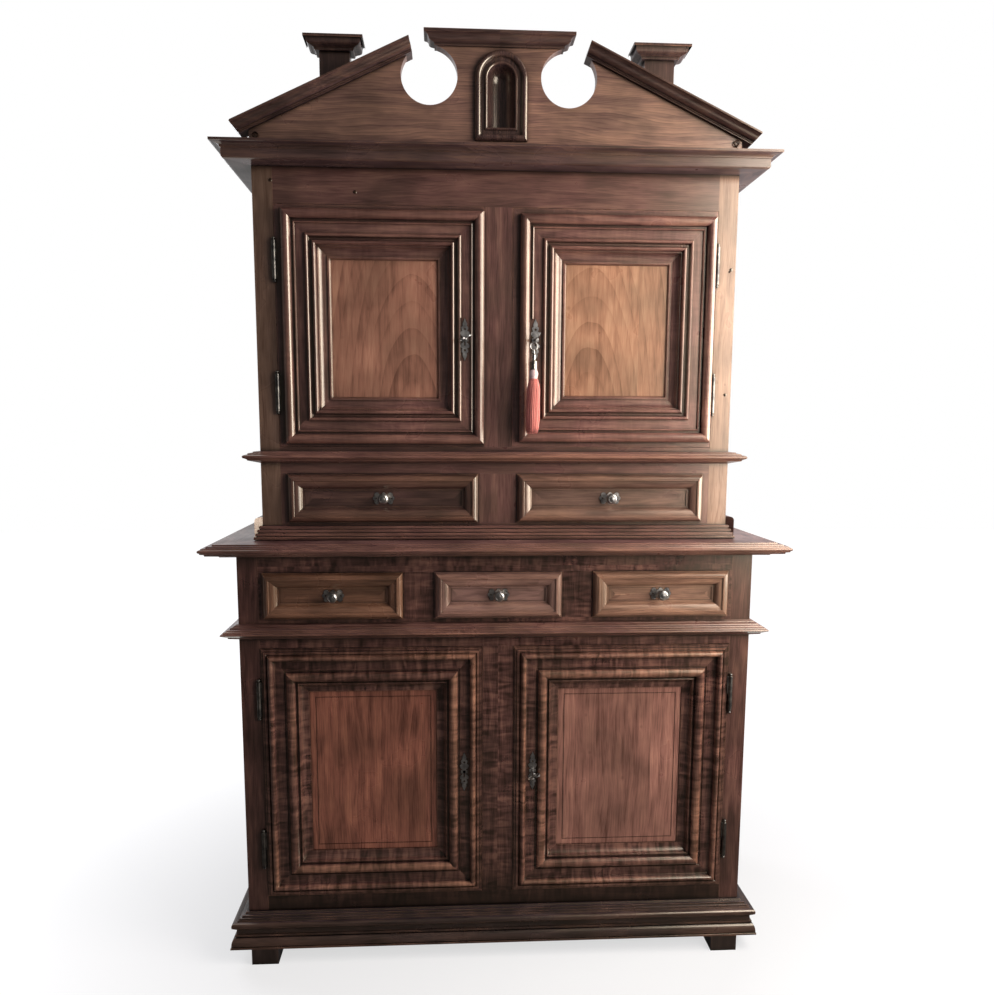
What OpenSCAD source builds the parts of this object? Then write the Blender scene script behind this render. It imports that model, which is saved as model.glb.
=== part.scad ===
// Two-part buffet in walnut: a lower cupboard with three drawers, a set-back upper
// cupboard with two drawers, and a broken pediment with a niche.
// X runs to the right, Y to the back and Z up. X = 0 is the middle of the width, Y = 0 the
// middle of the greatest depth and Z = 0 the floor.

/* [Carcasses] */
// Width of the lower carcass over its posts
lower_w = 1316; // [1280:1:1400]
// Width of the upper carcass over its posts
upper_w = 1202; // [1160:1:1240]
// Depth of the lower carcass
lower_d = 545; // [500:1:600]
// How far the upper front stands behind the lower front
upper_setback = 52; // [40:1:80]
// Section of the lower corner posts
lower_post_w = 51; // [46:1:56]
// Section of the upper corner posts
upper_post_w = 49; // [44:1:54]
// Thickness of the front rails and stiles
rail_t = 30; // [29:1:36]
// Thickness of the side rails
side_rail_t = 24; // [20:1:28]
// How far the side rails stand in from the posts' faces
side_inset = 6; // [3:1:9]
// Thickness of the side panels
side_panel_t = 10; // [8:1:12]
// Thickness of floors, shelves and drawer beds
board_t = 20; // [16:1:24]
// Thickness of the boards of the back
back_t = 14; // [10:1:18]
// Number of boards in each back
back_count = 5; // [3:1:7]
// Gap between one piece of wood and the next
joint_gap = 0.2; // [0.1:0.1:0.3]

/* [Heights] */
// Height of the feet
foot_h = 42; // [34:1:60]
// Height of the lower bottom rail
lower_bottom_rail_h = 125; // [110:1:150]
// Height of the lower door opening
lower_door_h = 673; // [600:1:740]
// Height of the rail between the lower doors and the drawers
lower_mid_rail_h = 74; // [66:1:84]
// Height of the lower drawer openings
lower_drawer_h = 121; // [114:1:134]
// Height of the rail above the lower drawers
lower_top_rail_h = 39; // [34:1:50]
// Thickness of the waist top
waist_t = 38; // [34:1:44]
// Height of the upper bottom rail
upper_bottom_rail_h = 42; // [38:1:50]
// Height of the upper drawer openings
upper_drawer_h = 127; // [118:1:140]
// Height of the rail between the upper drawers and the doors
belt_rail_h = 68; // [60:1:80]
// Height of the upper door opening
upper_door_h = 589; // [540:1:640]
// Height of the upper top rail
frieze_h = 107; // [100:1:120]
// Thickness of the top board
top_board_t = 18; // [14:1:20]
// Height of the lower shelf above the cupboard floor
lower_shelf_z = 335; // [280:1:400]
// Height of the upper shelf above the cupboard floor
upper_shelf_z = 292; // [240:1:340]

/* [Front layout] */
// Width of the stile between the lower doors
lower_stile_w = 80; // [70:1:90]
// Width of the stile between the upper doors
upper_stile_w = 69; // [62:1:80]
// Width of the muntin between the upper drawers
upper_muntin_w = 98; // [90:1:110]
// Width of the end muntins beside the upper drawers
upper_end_w = 15.5; // [12:0.5:20]
// Width of the muntins between the lower drawers
lower_muntin_w = 78; // [70:1:86]
// Distance between the middles of those muntins
lower_muntin_span = 406; // [380:1:430]
// Width of the end muntins beside the lower drawers
lower_end_w = 10; // [8:0.5:16]
// Gap all round a door or a drawer front
leaf_gap = 1; // [0.6:0.2:2]

/* [Doors] */
// Thickness of a door's frame
door_t = 27; // [24:1:28]
// Width of the mitred moulding round a door's panel
door_mould_w = 118; // [114:1:122]
// Part of that width which covers the flat frame
door_mould_lap = 84; // [80:1:84]
// Plain margin of the upper left door on its hinge side
upper_left_hinge_margin = 16; // [2:1:20]
// Plain margin of the upper left door at its top
upper_left_top_margin = 10; // [2:1:20]
// Plain margin of the upper left door at its bottom
upper_left_bottom_margin = 6; // [2:1:20]
// Plain margin of the upper right door on its hinge side
upper_right_hinge_margin = 3; // [2:1:20]
// Plain margin of the upper right door on its meeting side
upper_right_meeting_margin = 18; // [2:1:20]
// Plain margin of the upper right door at its top
upper_right_top_margin = 14; // [2:1:20]
// Plain margin of the upper right door at its bottom
upper_right_bottom_margin = 12; // [2:1:20]
// Thickness of a door panel
panel_t = 8; // [6:1:9]
// How far a door panel lies behind the door's face
panel_back = 14; // [13:1:15]
// Depth of the groove that holds a panel
groove_d = 10; // [6:1:12]
// Play of a panel in its groove
panel_play = 0.2; // [0.1:0.1:0.4]
// Distance of a lower panel's scribed line from its edge
field_margin = 15; // [10:1:24]

/* [Drawers] */
// Width of a drawer front's mitred moulding
drawer_mould_w = 42; // [34:1:44]
// Thickness of a drawer front
drawer_front_t = 20; // [16:1:24]
// Depth of the drawer boxes behind their fronts
drawer_box_d = 400; // [340:1:420]
// Height of the box sides below the opening's top
drawer_side_drop = 16; // [10:1:24]
// Thickness of the box sides and back
drawer_side_t = 12; // [9:1:14]
// Thickness of the box bottom
drawer_bottom_t = 8; // [6:1:10]
// Running gap between a drawer and its bed and guides
drawer_play = 0.5; // [0.4:0.1:1.5]
// Height of the guides
guide_h = 26; // [18:1:34]

/* [Mouldings] */
// Projection of the base moulding
base_out = 42; // [36:1:50]
// Height of the base moulding
base_h = 85; // [75:1:95]
// Projection of the mid moulding
mid_out = 38.5; // [32:0.5:44]
// Projection of the waist top's edge
waist_out = 75; // [66:1:84]
// Projection of the socle under the upper carcass
socle_out = 20; // [16:1:26]
// Height of the socle's front
socle_front_h = 36; // [30:1:40]
// Height of the socle's sides
socle_side_h = 57; // [48:1:64]
// Projection of the belt moulding
belt_out = 38; // [32:1:44]
// Projection of the cornice
cornice_out = 80; // [70:1:90]
// Height of the cornice
cornice_h = 39; // [36:1:46]

/* [Pediment] */
// Thickness of the tympanum board
tympanum_t = 28; // [22:1:34]
// Slope of the rakes in degrees
rake_angle = 25; // [22:1:27]
// Height of the tympanum at its ends
tympanum_end_h = 43; // [36:1:50]
// Thickness of the rake mouldings
rake_t = 25; // [22:1:30]
// Projection of the rake mouldings in front of the board
rake_out = 38; // [30:1:45]
// How far the rakes' lower ends pass the upper posts
rake_over = 38; // [30:1:44]
// Distance of the rakes' upper ends from the middle
rake_stop = 217; // [205:1:226]
// Radius of the round cut-outs
scroll_r = 68.5; // [62:0.5:72]
// Distance of their centres from the middle
scroll_x = 170; // [164:1:176]
// Height of their centres above the cornice
scroll_z = 178; // [172:1:184]
// Height of the centre cap
cap_h = 28; // [24:1:34]
// Projection of the centre cap
cap_out = 29; // [24:1:34]
// Half width of the neck under the centre cap
cap_neck = 153; // [148:1:158]
// Height of the neck's top above the cornice
cap_z = 244; // [236:1:246]
// Half width of the niche's frame
niche_r = 64; // [58:1:70]
// Width of the niche's frame
niche_frame_w = 31; // [28:1:36]
// Sideways place of the niche
niche_x = 4; // [-6:1:8]
// Height of the niche's foot above the cornice
niche_z = 29; // [22:1:36]
// Height of the niche's spring above the cornice
niche_spring = 172; // [160:1:176]
// Thickness of the niche block
niche_block_t = 42; // [40:1:50]
// Distance of the side plinths from the middle
plinth_x = 400; // [370:1:430]
// Width of a side plinth's neck
plinth_w = 74; // [64:1:84]
// Depth of a side plinth's neck
plinth_d = 36; // [30:1:44]
// Height of a side plinth
plinth_h = 266; // [255:1:280]
// Projection of a side plinth's cap
plinth_out = 34; // [28:1:38]
// Height of a side plinth's cap
plinth_cap_h = 27; // [24:1:34]

/* [Ironwork] */
// Radius of the hinge barrels
barrel_r = 5.5; // [5:0.1:6]
// Length of each half of a hinge barrel
barrel_h = 46; // [38:1:52]
// Radius of the hinge pins
pin_r = 3; // [2.5:0.1:3.4]
// Running clearance of the hinge pins
pin_play = 0.05; // [0.02:0.01:0.1]
// How far the barrels' axes stand in front of the posts
barrel_out = 6.5; // [6.2:0.1:8]
// Distance of the upper hinge axes from the openings' edges
upper_pivot_over = 0; // [-1:0.5:2]
// Distance of the lower hinge axes from the openings' edges
lower_pivot_over = 5; // [0:0.5:6]
// Distance of a hinge's middle from the opening's top or bottom
hinge_inset = 133; // [110:1:160]
// Thickness of the hinge leaves
hinge_leaf_t = 2; // [1.6:0.1:2.4]
// Depth of the hinge leaves in the wood
hinge_leaf_d = 24; // [18:1:26]
// Width of an escutcheon
plate_w = 23; // [18:1:26]
// Height of an escutcheon
plate_h = 104; // [90:1:116]
// Thickness of plates
plate_t = 1.6; // [1:0.1:2.4]
// Distance of the upper left keyhole from the door's meeting edge
upper_left_key_in = 49; // [45:1:52]
// Distance of the upper right keyhole from the door's meeting edge
upper_right_key_in = 58; // [54:1:62]
// Distance of the lower left keyhole from the door's meeting edge
lower_left_key_in = 47; // [44:1:50]
// Distance of the lower right keyhole from the door's meeting edge
lower_right_key_in = 51; // [44:1:54]
// Width of a lock case
case_w = 74; // [70:1:80]
// Height of a lock case
case_h = 84; // [76:1:96]
// Depth of a lock case
case_d = 17; // [16:1:20]
// Thickness of a lock case's walls
case_t = 2; // [1.5:0.1:2.5]
// Width of a bolt's bar
bolt_h = 13; // [12:0.5:15]
// Thickness of a bolt
bolt_t = 6; // [5:0.5:7]
// Travel of a bolt
bolt_throw = 12; // [9:1:13]
// Radius of a key's shaft
key_r = 3; // [2.6:0.1:3.2]
// Reach of a key's bit from its axis
bit_r = 11; // [9:0.5:12]
// How far a key's bow stands in front of the door
bow_out = 45; // [43:1:50]
// Half width of a key's bow
bow_r = 17; // [14:1:20]
// Radius of a drawer knob
knob_r = 13.5; // [11:0.5:15]
// How far a knob stands in front of the drawer
knob_out = 34; // [28:1:40]
// Width of a drawer pull's plate
pull_w = 55; // [46:1:62]
// Height of a drawer pull's plate
pull_h = 31; // [26:1:36]

/* [Tassel] */
// Length of the tassel's skirt
skirt_h = 136; // [110:1:140]
// Greatest radius of the skirt
skirt_r = 19; // [16:0.5:20]
// Radius of the tassel's head
head_r = 11; // [8:0.5:12]
// Height of the tassel's head
head_h = 22; // [16:1:24]
// Radius of the metal ferrule
ferrule_r = 8.5; // [7:0.5:9]
// Height of the metal ferrule
ferrule_h = 23; // [16:1:26]
// Radius of the cord loop
loop_r = 9; // [7:0.5:11]
// Radius of the loop's cord
cord_r = 1.4; // [1.2:0.1:1.8]

/* [Hidden] */
$fn = 48;

walnut = "#5a382a";
walnut_light = "#8a5a3c";
walnut_dark = "#2a1a15";
raw_wood = "#a98860";
iron = "#5a5a58";
silk = "#d9766a";

// Depths: the waist top's front edge and the back are equally far from Y = 0
back_y = (lower_d + waist_out) / 2;
lower_y = back_y - lower_d;
upper_y = lower_y + upper_setback;

// Heights from the floor
lower_door_z = foot_h + lower_bottom_rail_h;
lower_mid_z = lower_door_z + lower_door_h;
lower_drawer_z = lower_mid_z + lower_mid_rail_h;
lower_top_z = lower_drawer_z + lower_drawer_h;
waist_z = lower_top_z + lower_top_rail_h;
upper_z = waist_z + waist_t;
upper_drawer_z = upper_z + upper_bottom_rail_h;
belt_rail_z = upper_drawer_z + upper_drawer_h;
upper_door_z = belt_rail_z + belt_rail_h;
frieze_z = upper_door_z + upper_door_h;
top_board_z = frieze_z + frieze_h;
cornice_z = top_board_z + top_board_t;

lower_hw = lower_w / 2;
upper_hw = upper_w / 2;
lower_open = lower_hw - lower_post_w;
upper_open = upper_hw - upper_post_w;
big = 3000;
eps = 0.01;

// Doors: 0 upper left, 1 upper right, 2 lower left, 3 lower right
function is_upper(i) = i < 2;
function side(i) = i % 2 == 0 ? -1 : 1;
function face_y(i) = is_upper(i) ? upper_y : lower_y;
function open_x(i) = is_upper(i) ? upper_open : lower_open;
function stile_edge(i) = is_upper(i) ? side(i) * upper_stile_w / 2
  : side(i) * lower_stile_w / 2;
function leaf_x0(i) = (side(i) < 0 ? -open_x(i) : stile_edge(i)) + leaf_gap;
function leaf_x1(i) = (side(i) < 0 ? stile_edge(i) : open_x(i)) - leaf_gap;
function leaf_z0(i) = (is_upper(i) ? upper_door_z : lower_door_z) + leaf_gap;
function leaf_z1(i) = (is_upper(i) ? frieze_z : lower_mid_z) - leaf_gap;
// Plain margins outside the moulding: left, right, top, bottom
margins = [
  [upper_left_hinge_margin, 0, upper_left_top_margin, upper_left_bottom_margin],
  [upper_right_meeting_margin, upper_right_hinge_margin, upper_right_top_margin,
   upper_right_bottom_margin],
  [0, 0, 0, 0],
  [0, 0, 0, 0]
];
function mould_box(i) = [leaf_x0(i) + margins[i][0], leaf_x1(i) - margins[i][1],
  leaf_z0(i) + margins[i][3], leaf_z1(i) - margins[i][2]];
function inset(b, d) = [b[0] + d, b[1] - d, b[2] + d, b[3] - d];
function pivot_x(i) = side(i) * (open_x(i) + (is_upper(i) ? upper_pivot_over : lower_pivot_over));
function pivot_y(i) = face_y(i) - barrel_out;
function hinge_zs(i) = [leaf_z0(i) + hinge_inset, leaf_z1(i) - hinge_inset];
// The lock sits in the valley between the two raised mouldings of the meeting member
key_ins = [upper_left_key_in, upper_right_key_in, lower_left_key_in, lower_right_key_in];
function key_x(i) = side(i) < 0 ? leaf_x1(i) - key_ins[i] : leaf_x0(i) + key_ins[i];
function key_z(i) = (is_upper(i) ? -26.5 : -1) + (leaf_z0(i) + leaf_z1(i)) / 2;
function lock_back_y(i) = face_y(i) + door_t;
function case_x0(i) = side(i) < 0 ? leaf_x1(i) - case_w : leaf_x0(i);

// Drawers: [left, right, upper row?] of the openings
muntin_in = lower_muntin_span / 2 - lower_muntin_w / 2;
muntin_out = lower_muntin_span / 2 + lower_muntin_w / 2;
drawers = [
  [-upper_open + upper_end_w, -upper_muntin_w / 2, true],
  [upper_muntin_w / 2, upper_open - upper_end_w, true],
  [-lower_open + lower_end_w, -muntin_out, false],
  [-muntin_in, muntin_in, false],
  [muntin_out, lower_open - lower_end_w, false]
];
function drawer_y(d) = drawers[d][2] ? upper_y : lower_y;
function drawer_z0(d) = drawers[d][2] ? upper_drawer_z : lower_drawer_z;
function drawer_z1(d) = drawers[d][2] ? belt_rail_z : lower_top_z;

function arc(cx, cy, rx, ry, a0, a1, n) =
  [for (i = [0:n]) let (a = a0 + (a1 - a0) * i / n) [cx + rx * cos(a), cy + ry * sin(a)]];

// Part of both door sections: down into the frame's opening and round the panel's groove
function door_section_end(w) = let (b = w - door_mould_lap) concat(
  [[w, -panel_back], [w - groove_d, -panel_back],
   [w - groove_d, -panel_back - panel_t - 2 * panel_play],
   [w, -panel_back - panel_t - 2 * panel_play], [w, -door_t],
   [w - b + joint_gap, -door_t], [w - b + joint_gap, 0]]);

// Section of the upper doors' moulding: across from its outer edge, out from the frame's face
upper_section = function (w) concat(
  [[0, 0], [0, 6]],
  arc(12.5, 7, 12.4, 13, 172, 8, 9),
  [[25.5, 5], [28.8, 5]],
  arc(32, 5, 3, 3.5, 165, 15, 4),
  [[35.4, 4], [57.5, 4], [57.5, 6]],
  arc(62.4, 7, 4.4, 5, 165, 15, 5),
  [[67.4, 5], [69, 3], [73, 3], [74.5, 5]],
  arc(79.5, 6, 4.4, 4.5, 165, 15, 5),
  [[84.5, 5], [85.5, 1]],
  arc(105, 1, 17, 12, 180, 262, 7),
  [[106.5, -12], [110.5, -12], [110.5, -9], [114.5, -9]],
  door_section_end(w));

// Section of the lower doors' moulding
lower_section = function (w) concat(
  [[0, 0], [0, 2], [3, 2], [3, 5], [8.5, 5], [8.5, 9], [14, 9], [15.5, 7]],
  arc(25, 7, 7.5, 11, 165, 12, 8),
  [[33.5, 4], [36, 3], [57.5, 3], [58.5, 1.5], [62.8, 1.5]],
  arc(75, 4, 12, 11.5, 172, 8, 9),
  [[87.6, 2], [90, 2]],
  arc(93, 2, 2.4, 2.6, 165, 15, 4),
  [[96, 1]],
  arc(114, 1, 17.5, 12, 180, 262, 7),
  [[w, -11.4]],
  door_section_end(w));

// Section of a drawer front's moulding, which lies on the face
drawer_section = function (w) concat(
  [[0, 0], [0, 4], [1.6, 4]],
  arc(0.3 * w, 4, 0.24 * w, 11.5, 170, 95, 5),
  [[0.31 * w, 17], [0.4 * w, 17], [0.42 * w, 14.5]],
  arc(0.42 * w, 5, 0.42 * w, 9, 88, 10, 6),
  [[0.87 * w, 4.5], [0.9 * w, 2.5], [w, 2.5], [w, 0]]);
drawer_mould_out = 17;
door_mould_out = 22;

module box(x0, x1, y0, y1, z0, z1) {
  translate([x0, y0, z0]) cube([x1 - x0, y1 - y0, z1 - z0]);
}

// A prism that stands across the front: its outline lies in X and Z
module front_prism(points, y0, y1) {
  translate([0, y1, 0]) rotate([90, 0, 0]) linear_extrude(y1 - y0) polygon(points);
}

// A length of moulding along X; points are [out from y, height]
module run_x(points, x0, x1, y) {
  translate([x0, y, 0]) rotate([90, 0, 90]) linear_extrude(x1 - x0)
    polygon([for (p = points) [-p[0], p[1]]]);
}

// A length of moulding along Y on the right-hand side; points are [out from x, height]
module run_y(points, y0, y1, x) {
  translate([x, y1, 0]) rotate([90, 0, 0]) linear_extrude(y1 - y0) polygon(points);
}

// A moulding round the front and both sides, mitred at the front corners
module wrap(hw, y, y1, reach, front_points, side_points) {
  g = joint_gap / 2;
  intersection() {
    run_x(front_points, -hw - reach, hw + reach, y);
    linear_extrude(big) polygon([[-hw - reach + g, y - reach - g], [hw + reach - g, y - reach - g],
      [hw - g, y - g + g], [-hw + g, y]]);
  }
  for (s = [-1, 1]) mirror([s < 0 ? 1 : 0, 0, 0]) intersection() {
    run_y(side_points, y - reach, y1, hw);
    linear_extrude(big) polygon([[hw, y + g], [hw + reach + g, y - reach + g],
      [hw + reach + g, y1], [hw, y1]]);
  }
}

// Four members mitred together; section(w) gives [across, out] points for a member w wide
module mitred_frame(x0, x1, z0, z1, m, y, back, front, section) {
  g = joint_gap / 2;
  xi0 = x0 + m[0];
  xi1 = x1 - m[1];
  zi0 = z0 + m[3];
  zi1 = z1 - m[2];
  intersection() {
    translate([0, 0, z0]) linear_extrude(z1 - z0)
      polygon([for (p = section(m[0])) [x0 + p[0], y - p[1]]]);
    front_prism([[x0 - eps, z0 + g], [xi0 + eps, zi0 + g], [xi0 + eps, zi1 - g],
      [x0 - eps, z1 - g]], y - front, y + back);
  }
  intersection() {
    translate([0, 0, z0]) linear_extrude(z1 - z0)
      polygon([for (p = section(m[1])) [x1 - p[0], y - p[1]]]);
    front_prism([[x1 + eps, z0 + g], [xi1 - eps, zi0 + g], [xi1 - eps, zi1 - g],
      [x1 + eps, z1 - g]], y - front, y + back);
  }
  intersection() {
    run_x([for (p = section(m[3])) [p[1], z0 + p[0]]], x0, x1, y);
    front_prism([[x0 + g, z0 - eps], [x1 - g, z0 - eps], [xi1 - g, zi0 + eps],
      [xi0 + g, zi0 + eps]], y - front, y + back);
  }
  intersection() {
    run_x([for (p = section(m[2])) [p[1], z1 - p[0]]], x0, x1, y);
    front_prism([[x0 + g, z1 + eps], [x1 - g, z1 + eps], [xi1 - g, zi1 - eps],
      [xi0 + g, zi1 - eps]], y - front, y + back);
  }
}

module both_sides() {
  children();
  mirror([1, 0, 0]) children();
}

// Lower carcass

foot_w = 69;
foot_inset = 13;
module feet() {
  front = lower_y - base_out;
  color(walnut_dark) both_sides() for (y = [front, back_y - foot_w]) {
    box(lower_hw - foot_inset - foot_w, lower_hw - foot_inset, y, y + foot_w, 0,
      foot_h - joint_gap);
  }
}

// From the floor side: fillet, swelling band, bead, deep hollow, lip, ovolo and two fine steps
function base_points(o, h, z) = concat(
  [[0, z], [o, z], [o, z + 4], [o - 4, z + 5.5]],
  arc(o - 11, z + 9, 9, 0.22 * h, -5, 80, 6),
  [[o - 12.5, z + 9 + 0.22 * h], [o - 12.5, z + 0.36 * h], [o - 10.5, z + 0.365 * h],
   [o - 10.5, z + 0.41 * h], [o - 14.5, z + 0.43 * h], [o - 15, z + 0.56 * h],
   [o - 4, z + 0.67 * h], [o - 3.5, z + 0.74 * h]],
  arc(o - 10, z + 0.74 * h, 6.5, 5.5, 10, 90, 5),
  [[o - 16, z + 0.81 * h], [o - 17, z + 0.84 * h], [o - 20, z + 0.84 * h],
   [o - 21, z + 0.88 * h], [o - 26, z + 0.89 * h], [o - 27, z + 0.94 * h],
   [o - 34, z + 0.95 * h], [o - 36, z + h], [0, z + h]]);

module base_moulding() {
  points = base_points(base_out, base_h, foot_h);
  color(walnut_dark) wrap(lower_hw, lower_y, back_y, base_out, points, points);
}

module posts(hw, w, y, z0, z1) {
  both_sides() for (yy = [y, back_y - w]) box(hw - w, hw, yy, yy + w, z0, z1);
}

// Pockets that let the fixed hinge leaves into the front posts
module post_pockets(first) {
  for (i = [first, first + 1], z = hinge_zs(i)) {
    xo = side(i) * open_x(i);
    box(min(xo, xo + side(i) * hinge_leaf_t), max(xo, xo + side(i) * hinge_leaf_t),
      face_y(i) - 1, face_y(i) + hinge_leaf_d, z - barrel_h, z - joint_gap);
  }
}

module lower_posts() {
  color(walnut) difference() {
    posts(lower_hw, lower_post_w, lower_y, foot_h, waist_z - joint_gap);
    post_pockets(2);
  }
}

module lower_front_frame() {
  y1 = lower_y + rail_t;
  x = lower_open - joint_gap;
  s = lower_stile_w / 2;
  color(walnut) {
    box(-x, x, lower_y, y1, foot_h, lower_door_z);
    box(-x, x, lower_y, y1, lower_mid_z, lower_drawer_z);
    box(-x, x, lower_y, y1, lower_top_z, waist_z - joint_gap);
    box(-s, s, lower_y, y1, lower_door_z + joint_gap, lower_mid_z - joint_gap);
    both_sides() for (c = [[muntin_in, muntin_out], [lower_open - lower_end_w, x]])
      box(c[0], c[1], lower_y, y1, lower_drawer_z + joint_gap, lower_top_z - joint_gap);
  }
}

// Side frames: carcass half width, post section, front, bottom and top
module side_rail(hw, w, y, z0, z1) {
  both_sides() box(hw - side_inset - side_rail_t, hw - side_inset,
    y + w + joint_gap, back_y - w - joint_gap, z0, z1);
}

module side_rails() {
  color(walnut) {
    side_rail(lower_hw, lower_post_w, lower_y, foot_h, lower_door_z);
    side_rail(lower_hw, lower_post_w, lower_y, lower_mid_z, lower_drawer_z);
    side_rail(lower_hw, lower_post_w, lower_y, lower_top_z, waist_z - joint_gap);
    side_rail(upper_hw, upper_post_w, upper_y, upper_z + joint_gap, upper_drawer_z);
    side_rail(upper_hw, upper_post_w, upper_y, belt_rail_z, upper_door_z);
    side_rail(upper_hw, upper_post_w, upper_y, frieze_z, top_board_z - joint_gap);
  }
}

module side_panel(hw, w, y, z0, z1) {
  x1 = hw - side_inset - side_panel_t / 2;
  both_sides() box(x1 - side_panel_t, x1, y + w + joint_gap, back_y - w - joint_gap,
    z0 + joint_gap, z1 - joint_gap);
}

module side_panels() {
  color(walnut) {
    side_panel(lower_hw, lower_post_w, lower_y, lower_door_z, lower_mid_z);
    side_panel(lower_hw, lower_post_w, lower_y, lower_drawer_z, lower_top_z);
    side_panel(upper_hw, upper_post_w, upper_y, upper_drawer_z, belt_rail_z);
    side_panel(upper_hw, upper_post_w, upper_y, upper_door_z, frieze_z);
  }
}

module back_row(open, z0, z1) {
  pitch = 2 * open / back_count;
  for (i = [0:back_count - 1])
    box(-open + i * pitch + joint_gap, -open + (i + 1) * pitch - joint_gap,
      back_y - back_t, back_y, z0, z1);
}

module back_boards() {
  color(raw_wood) {
    back_row(lower_open, foot_h, waist_z - joint_gap);
    back_row(upper_open, upper_z + joint_gap, top_board_z - joint_gap);
  }
}

// A board that fills the carcass inside and is notched round the posts
module inner_board(hw, w, y, z1) {
  x = hw - side_inset - side_rail_t - joint_gap;
  y0 = y + rail_t + joint_gap;
  y1 = back_y - back_t - joint_gap;
  n = hw - w - joint_gap;
  difference() {
    box(-x, x, y0, y1, z1 - board_t, z1);
    both_sides() for (c = [[y0 - 1, y + w + joint_gap], [back_y - w - joint_gap, y1 + 1]])
      box(n, x + 1, c[0], c[1], z1 - board_t - 1, z1 + 1);
  }
}

// A shelf lies behind the front posts and is notched round the back ones
module shelf(hw, w, y, z0) {
  x = hw - side_inset - side_rail_t - joint_gap;
  y1 = back_y - back_t - joint_gap;
  n = hw - w - joint_gap;
  difference() {
    box(-x, x, y + w + 20, y1, z0, z0 + board_t);
    both_sides() box(n, x + 1, back_y - w - joint_gap, y1 + 1, z0 - 1, z0 + board_t + 1);
  }
}

module boards() {
  color(raw_wood) {
    inner_board(lower_hw, lower_post_w, lower_y, lower_door_z);
    shelf(lower_hw, lower_post_w, lower_y, lower_door_z + lower_shelf_z);
    inner_board(lower_hw, lower_post_w, lower_y, lower_drawer_z);
    inner_board(upper_hw, upper_post_w, upper_y, upper_drawer_z);
    inner_board(upper_hw, upper_post_w, upper_y, upper_door_z);
    shelf(upper_hw, upper_post_w, upper_y, upper_door_z + upper_shelf_z);
    box(-upper_hw, upper_hw, upper_y, back_y, top_board_z, cornice_z - joint_gap);
  }
}

// Cleats under the shelves and guides on the beds between the drawers
module cleats(hw, w, y, z1) {
  x1 = hw - side_inset - side_rail_t;
  t = 14;
  both_sides() box(x1 - t, x1 - joint_gap, y + w + 24, back_y - w - 4, z1 - 24, z1 - joint_gap);
}

module guide(x0, x1, w, y, z) {
  box(x0, x1, y + rail_t + joint_gap, back_y - w - 6, z + joint_gap, z + guide_h);
}

module runners() {
  g = leaf_gap - drawer_play;
  m = upper_muntin_w / 2 + g;
  color(raw_wood) {
    cleats(lower_hw, lower_post_w, lower_y, lower_door_z + lower_shelf_z);
    cleats(upper_hw, upper_post_w, upper_y, upper_door_z + upper_shelf_z);
    both_sides() {
      guide(muntin_in - g, muntin_out + g, lower_post_w, lower_y, lower_drawer_z);
      guide(lower_open - lower_end_w - g, lower_open - joint_gap, lower_post_w, lower_y,
        lower_drawer_z);
      guide(upper_open - upper_end_w - g, upper_open - joint_gap, upper_post_w, upper_y,
        upper_drawer_z);
    }
    guide(-m, m, upper_post_w, upper_y, upper_drawer_z);
  }
}

mid_h = 41.5;
function mid_points(o, z) = concat(
  [[0, z], [o - 17, z + 7], [o - 15, z + 10], [o - 2, z + 16.5], [o, z + 18]],
  arc(o - 3, z + 18, 3, 3.5, 0, 70, 3),
  [[o - 6, z + 22], [o - 7, z + 25], [o - 12.5, z + 27], [o - 13.5, z + 29],
   [o - 20.5, z + 30.5], [o - 21.5, z + 33], [o - 28, z + 36.5], [o - 29, z + 38],
   [0, z + mid_h]]);

module mid_moulding() {
  points = mid_points(mid_out, lower_mid_z + 23);
  color(walnut) wrap(lower_hw, lower_y, back_y, mid_out, points, points);
}

// Underside hollow, small nose and three fine steps up to the flat top
function waist_points(o, t, z) = concat(
  [[0, z], [o - 42, z + 5], [o - 41, z + 7], [o - 14, z + 11.5], [o - 13, z + 14.5],
   [o - 5, z + 17], [o - 4, z + 20]],
  arc(o - 4, z + 24, 4, 4, -80, 80, 5),
  [[o - 6.5, z + t - 9.5], [o - 7.5, z + t - 7], [o - 16, z + t - 6.5], [o - 17.5, z + t - 3.5],
   [o - 28, z + t - 3], [o - 30, z + t], [0, z + t]]);

module waist_top() {
  points = waist_points(waist_out, waist_t, waist_z);
  color(walnut) {
    box(-lower_hw + joint_gap, lower_hw - joint_gap, lower_y + joint_gap, back_y, waist_z, upper_z);
    wrap(lower_hw, lower_y, back_y, waist_out, points, points);
  }
}

// Upper carcass

module upper_posts() {
  color(walnut_light) difference() {
    posts(upper_hw, upper_post_w, upper_y, upper_z + joint_gap, top_board_z - joint_gap);
    post_pockets(0);
  }
}

module upper_front_frame() {
  y1 = upper_y + rail_t;
  x = upper_open - joint_gap;
  s = upper_stile_w / 2;
  color(walnut) {
    box(-x, x, upper_y, y1, upper_z + joint_gap, upper_drawer_z);
    box(-upper_muntin_w / 2, upper_muntin_w / 2, upper_y, y1, upper_drawer_z + joint_gap,
      belt_rail_z - joint_gap);
    both_sides() box(upper_open - upper_end_w, x, upper_y, y1, upper_drawer_z + joint_gap,
      belt_rail_z - joint_gap);
    box(-x, x, upper_y, y1, belt_rail_z, upper_door_z);
    box(-s, s, upper_y, y1, upper_door_z + joint_gap, frieze_z - joint_gap);
    box(-x, x, upper_y, y1, frieze_z, top_board_z - joint_gap);
  }
}

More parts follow.
